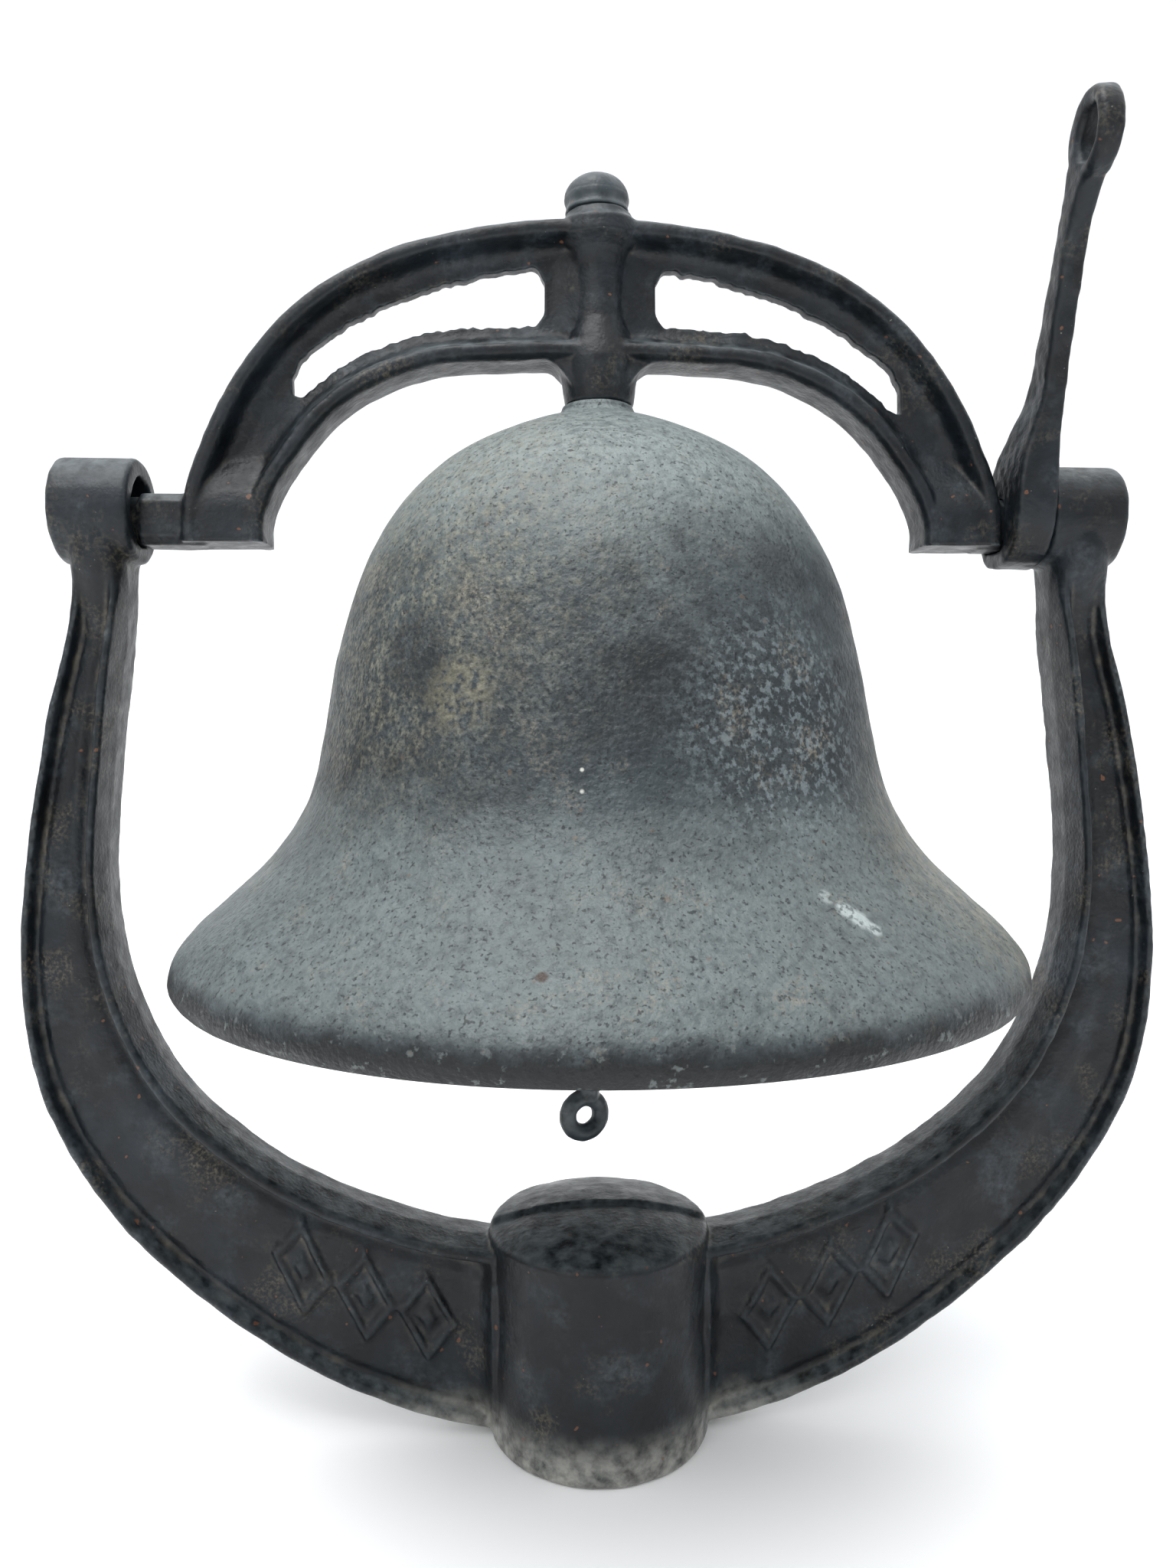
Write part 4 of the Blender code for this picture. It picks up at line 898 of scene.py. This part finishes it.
def sand_cast_bell_iron():
    """Grey paint weathered on a coarse sand casting.

    The molten iron took the print of the sand, so the wall has an orange-peel skin 2 to 4 mm
    across; the paint is a slaty grey-green, dusty and lightened by painted sky light on the
    up-facing dome and flare, darker round the side-facing waist, which that painted light misses,
    with a dark band at the lip.
    """
    material, tree, shader = new_finish("sand_cast_bell_iron")
    place = add(tree, "TexCoord", {})
    spots = place.outputs["Object"]
    height = add(tree, "SeparateXYZ", {0: spots}).outputs["Z"]
    up = add(tree, "SeparateXYZ", {0: place.outputs["Normal"]}).outputs["Z"]
    grain = patches(tree, spots, 2.9, 0.36, 0.66, detail=2.0)
    tone = blended(tree, "14191c", "222a2e", patches(tree, spots, 75, 0.36, 0.66))
    raised = product(tree, grain, patches(tree, spots, 30, 0.38, 0.64, strength=0.55))
    tone = blended(tree, tone, "454e52", raised)
    # painted sky light: up-facing skin lightened in patches, less of it low on the bell
    drift = patches(tree, spots, 60, 0.2, 0.8, strength=0.22)
    wander = add(tree, "Math", {0: up, 1: drift}, operation="ADD")
    sky = product(tree, ramp(tree, wander.outputs[0], 0.24, 0.88),
                  patches(tree, spots, 5.5, 0.12, 0.56, strength=0.78))
    levels = {"Value": height, "From Min": RIM_Z + 0.10, "From Max": RIM_Z + 0.30,
              "To Min": 0.58, "To Max": 1.0}
    sky = product(tree, sky, add(tree, "MapRange", levels).outputs[0])
    tone = blended(tree, tone, "7d8685", sky)
    tan = product(tree, mark(tree, spots, (-0.13, -0.10, RIM_Z + 0.255), 0.125, 0.6),
                  patches(tree, spots, 6, 0.36, 0.62, strength=0.6))
    tone = blended(tree, tone, "7d7a68", product(tree, tan, grain))
    far_tan = product(tree, mark(tree, spots, (0.235, -0.05, RIM_Z + 0.06), 0.10, 0.6),
                      patches(tree, spots, 9, 0.36, 0.62, strength=0.55))
    tone = blended(tree, tone, "8b8676", far_tan)
    dusty = product(tree, patches(tree, spots, 40, 0.56, 0.70),
                    patches(tree, spots, 2.6, 0.46, 0.66, strength=0.6))
    tone = blended(tree, tone, "80796a", dusty)
    flaked = product(tree, mark(tree, spots, (0.095, -0.150, RIM_Z + 0.165), 0.062, 0.5),
                     patches(tree, spots, 4.5, 0.50, 0.60, strength=0.42))
    tone = blended(tree, tone, "7d888c", flaked)
    pits = patches(tree, spots, 2.4, 0.40, 0.30, detail=1.0, strength=0.75)
    tone = blended(tree, tone, "101417", pits)
    ragged_edge = patches(tree, spots, 28, 0.3, 0.7, strength=0.016)
    edge = add(tree, "Math", {0: height, 1: ragged_edge}, operation="ADD")
    lip = product(tree, ramp(tree, edge.outputs[0], RIM_Z + 0.030, RIM_Z + 0.019),
                  patches(tree, spots, 9, 0.12, 0.34, strength=0.95))
    tone = blended(tree, tone, "0c0f11", lip)
    chalk = product(tree, ramp(tree, height, RIM_Z + 0.040, RIM_Z + 0.004),
                    patches(tree, spots, 8, 0.60, 0.66, strength=0.5))
    tone = blended(tree, tone, "6d7474", chalk)
    ragged = patches(tree, spots, 6, 0.40, 0.50)
    marks = (((-0.112, -0.132, 0.399), 0.022, "12171b", 0.75),  # a dark flake on the left
             ((-0.102, -0.143, 0.383), 0.014, "14191c", 0.6),
             ((-0.085, -0.155, 0.374), 0.020, "7a745f", 0.30),
             ((0.118, -0.197, 0.260), 0.0055, "9ba3a2", 0.85),  # a bright scuff on the right
             ((0.125, -0.198, 0.255), 0.0060, "9ba3a2", 0.85),
             ((0.132, -0.199, 0.249), 0.0045, "9ba3a2", 0.8),
             ((0.108, -0.195, 0.267), 0.0045, "8d9594", 0.7))
    for centre, size, paint, strength in marks:
        share = product(tree, mark(tree, spots, centre, size, 0.35), ragged)
        tone = blended(tree, tone, paint, product(tree, share, strength))
    specks = (((-0.0200, -0.1846, 0.3333), 0.0012, "a9aaa2"),
              ((-0.0202, -0.1876, 0.3222), 0.0015, "b4b5ae"),
              ((-0.0423, -0.2488, 0.2371), 0.0030, "3a302a"))
    for centre, size, paint in specks:
        tone = blended(tree, tone, paint, mark(tree, spots, centre, size, 0.35))
    rust = patches(tree, spots, 8, 0.755, 0.780, detail=1.0, strength=0.4)
    tone = blended(tree, tone, "5e4a3a", rust)
    gloss = patches(tree, spots, 11, 0.3, 0.7, strength=0.20)
    gloss = add(tree, "Math", {0: gloss, 1: 0.40}, operation="ADD").outputs[0]
    tree.links.new(tone, shader.inputs["Base Color"])
    tree.links.new(gloss, shader.inputs["Roughness"])
    shader.inputs["Specular IOR Level"].default_value = 0.32
    skin = sand_relief(tree, spots, ((16.0, 0.9), (3.8, 1.5), (1.8, 0.35)))
    tree.links.new(skin, shader.inputs["Normal"])
    return material


def forged_steel():
    """Hammer-forged steel kept under cover: a dull mill-scale grey with thin brown rust.

    The scale breaks the shine into soft patches, and rust gathers as a fine bloom.
    """
    material, tree, shader = new_finish("dull_forged_steel")
    spots = add(tree, "TexCoord", {}).outputs["Object"]
    tone = blended(tree, "585b5d", "3a3c3e", patches(tree, spots, 6, 0.4, 0.65))
    tone = blended(tree, tone, "6b4a35", patches(tree, spots, 2.5, 0.52, 0.68, strength=0.6))
    gloss = patches(tree, spots, 4, 0.3, 0.7, strength=0.25)
    gloss = add(tree, "Math", {0: gloss, 1: 0.38}, operation="ADD").outputs[0]
    shader.inputs["Metallic"].default_value = 0.8
    tree.links.new(tone, shader.inputs["Base Color"])
    tree.links.new(gloss, shader.inputs["Roughness"])
    tree.links.new(sand_relief(tree, spots, ((2.0, 0.12),)), shader.inputs["Normal"])
    return material


def studio_paper():
    """Matt white paper, which gives no shine and only the faintest mottle."""
    material, tree, shader = new_finish("matt_studio_paper")
    spots = add(tree, "TexCoord", {}).outputs["Object"]
    tone = blended(tree, "fafafa", "f9f9f9", patches(tree, spots, 300, 0.3, 0.7))
    tree.links.new(tone, shader.inputs["Base Color"])
    shader.inputs["Roughness"].default_value = 0.9
    return material


# ---------------------------------------------------------------- stage, light and camera
def build_stage():
    """A pale floor that sweeps up into a backdrop behind the bell."""
    depth = np.concatenate([np.linspace(-6, 3, 10), 3 + 2 * np.sin(np.linspace(0, pi / 2, 20)[1:]),
                            np.full(6, 5.0)])
    rise = np.concatenate([np.zeros(10), 2 * (1 - np.cos(np.linspace(0, pi / 2, 20)[1:])),
                           np.linspace(2.5, 7, 6)])
    x = np.array([-9.0, 9.0])
    grid = np.broadcast_arrays(x[None, :], depth[:, None], FLOOR_Z + rise[:, None])
    verts = np.stack(grid, axis=-1)
    rows = len(depth)
    faces = [(2 * i, 2 * i + 1, 2 * i + 3, 2 * i + 2) for i in range(rows - 1)]
    floor = to_object("studio_floor", verts.reshape(-1, 3), faces)
    floor.data.shade_smooth()
    floor.data.materials.append(studio_paper())


def add_light(name, place, target, size, power):
    """A soft round lamp at a place, facing a target."""
    light = bpy.data.lights.new(name, "AREA")
    light.shape, light.size, light.energy = "DISK", size, power
    obj = bpy.data.objects.new(name, light)
    obj.location = place
    aim = Vector(target) - Vector(place)
    obj.rotation_euler = aim.to_track_quat("-Z", "Y").to_euler()
    bpy.context.scene.collection.objects.link(obj)


def build_light():
    """An open overcast sky, bright overhead and dim towards the horizon, and two soft lamps."""
    world = bpy.data.worlds.new("overcast")
    world.use_nodes = True
    tree = world.node_tree
    background = tree.nodes["Background"]
    background.inputs["Color"].default_value = (0.96, 0.98, 1.0, 1)
    aim = add(tree, "TexCoord", {}).outputs["Generated"]
    height = add(tree, "SeparateXYZ", {0: aim}).outputs["Z"]
    levels = {"Value": height, "From Min": -0.05, "From Max": 0.75, "To Min": 0.34, "To Max": 1.75}
    tree.links.new(add(tree, "MapRange", levels).outputs[0], background.inputs["Strength"])
    bpy.context.scene.world = world
    middle = (0, 0, 0.35)
    add_light("soft_top", (-0.6, -0.8, 2.6), middle, 2.0, 52)
    add_light("soft_front", (-1.6, -2.6, 1.3), middle, 1.8, 12)


def build_camera():
    """Stands 0.8 m in front of the bell at the height of its waist, looking slightly down."""
    camera = bpy.data.cameras.new("camera")
    camera.sensor_fit, camera.sensor_height, camera.lens = "VERTICAL", 36, 27.07
    obj = bpy.data.objects.new("camera", camera)
    yaw, pitch, roll = radians(-3.10), radians(2.906), radians(-0.138)
    back = Vector((sin(yaw) * cos(pitch), -cos(yaw) * cos(pitch), sin(pitch)))
    right = (-back).cross(Vector((0, 0, 1))).normalized()
    up = back.cross(right)
    turned_right = right * cos(roll) + up * sin(roll)
    turned_up = up * cos(roll) - right * sin(roll)
    axes = Matrix((turned_right, turned_up, back)).transposed().to_4x4()
    obj.matrix_world = Matrix.Translation((-0.0503, -0.8029, RIM_Z + 0.1674)) @ axes
    bpy.context.scene.collection.objects.link(obj)
    bpy.context.scene.camera = obj


# ---------------------------------------------------------------- everything
build_camera()
build_stage()
build_light()
frame_paint = painted_cast_iron("black_painted_cast_iron", "080c10", "161d23", 0.6, 0.75)
fitting_paint = painted_cast_iron("weathered_cast_fittings", "2b3236", "63696c", 0.7)
build_bracket(frame_paint)
build_yoke(frame_paint)
build_bell(sand_cast_bell_iron())
build_nut(fitting_paint)
build_crank(frame_paint)
build_clapper(fitting_paint)
steel = forged_steel()
for node in ("bell_bolt", "crown_washer", "clapper_pin", "pin_washer", "split_pin"):
    obj = frame["nodes"][node]
    obj.data.materials.clear()
    obj.data.materials.append(steel)

bpy.context.scene.view_settings.view_transform = "Standard"
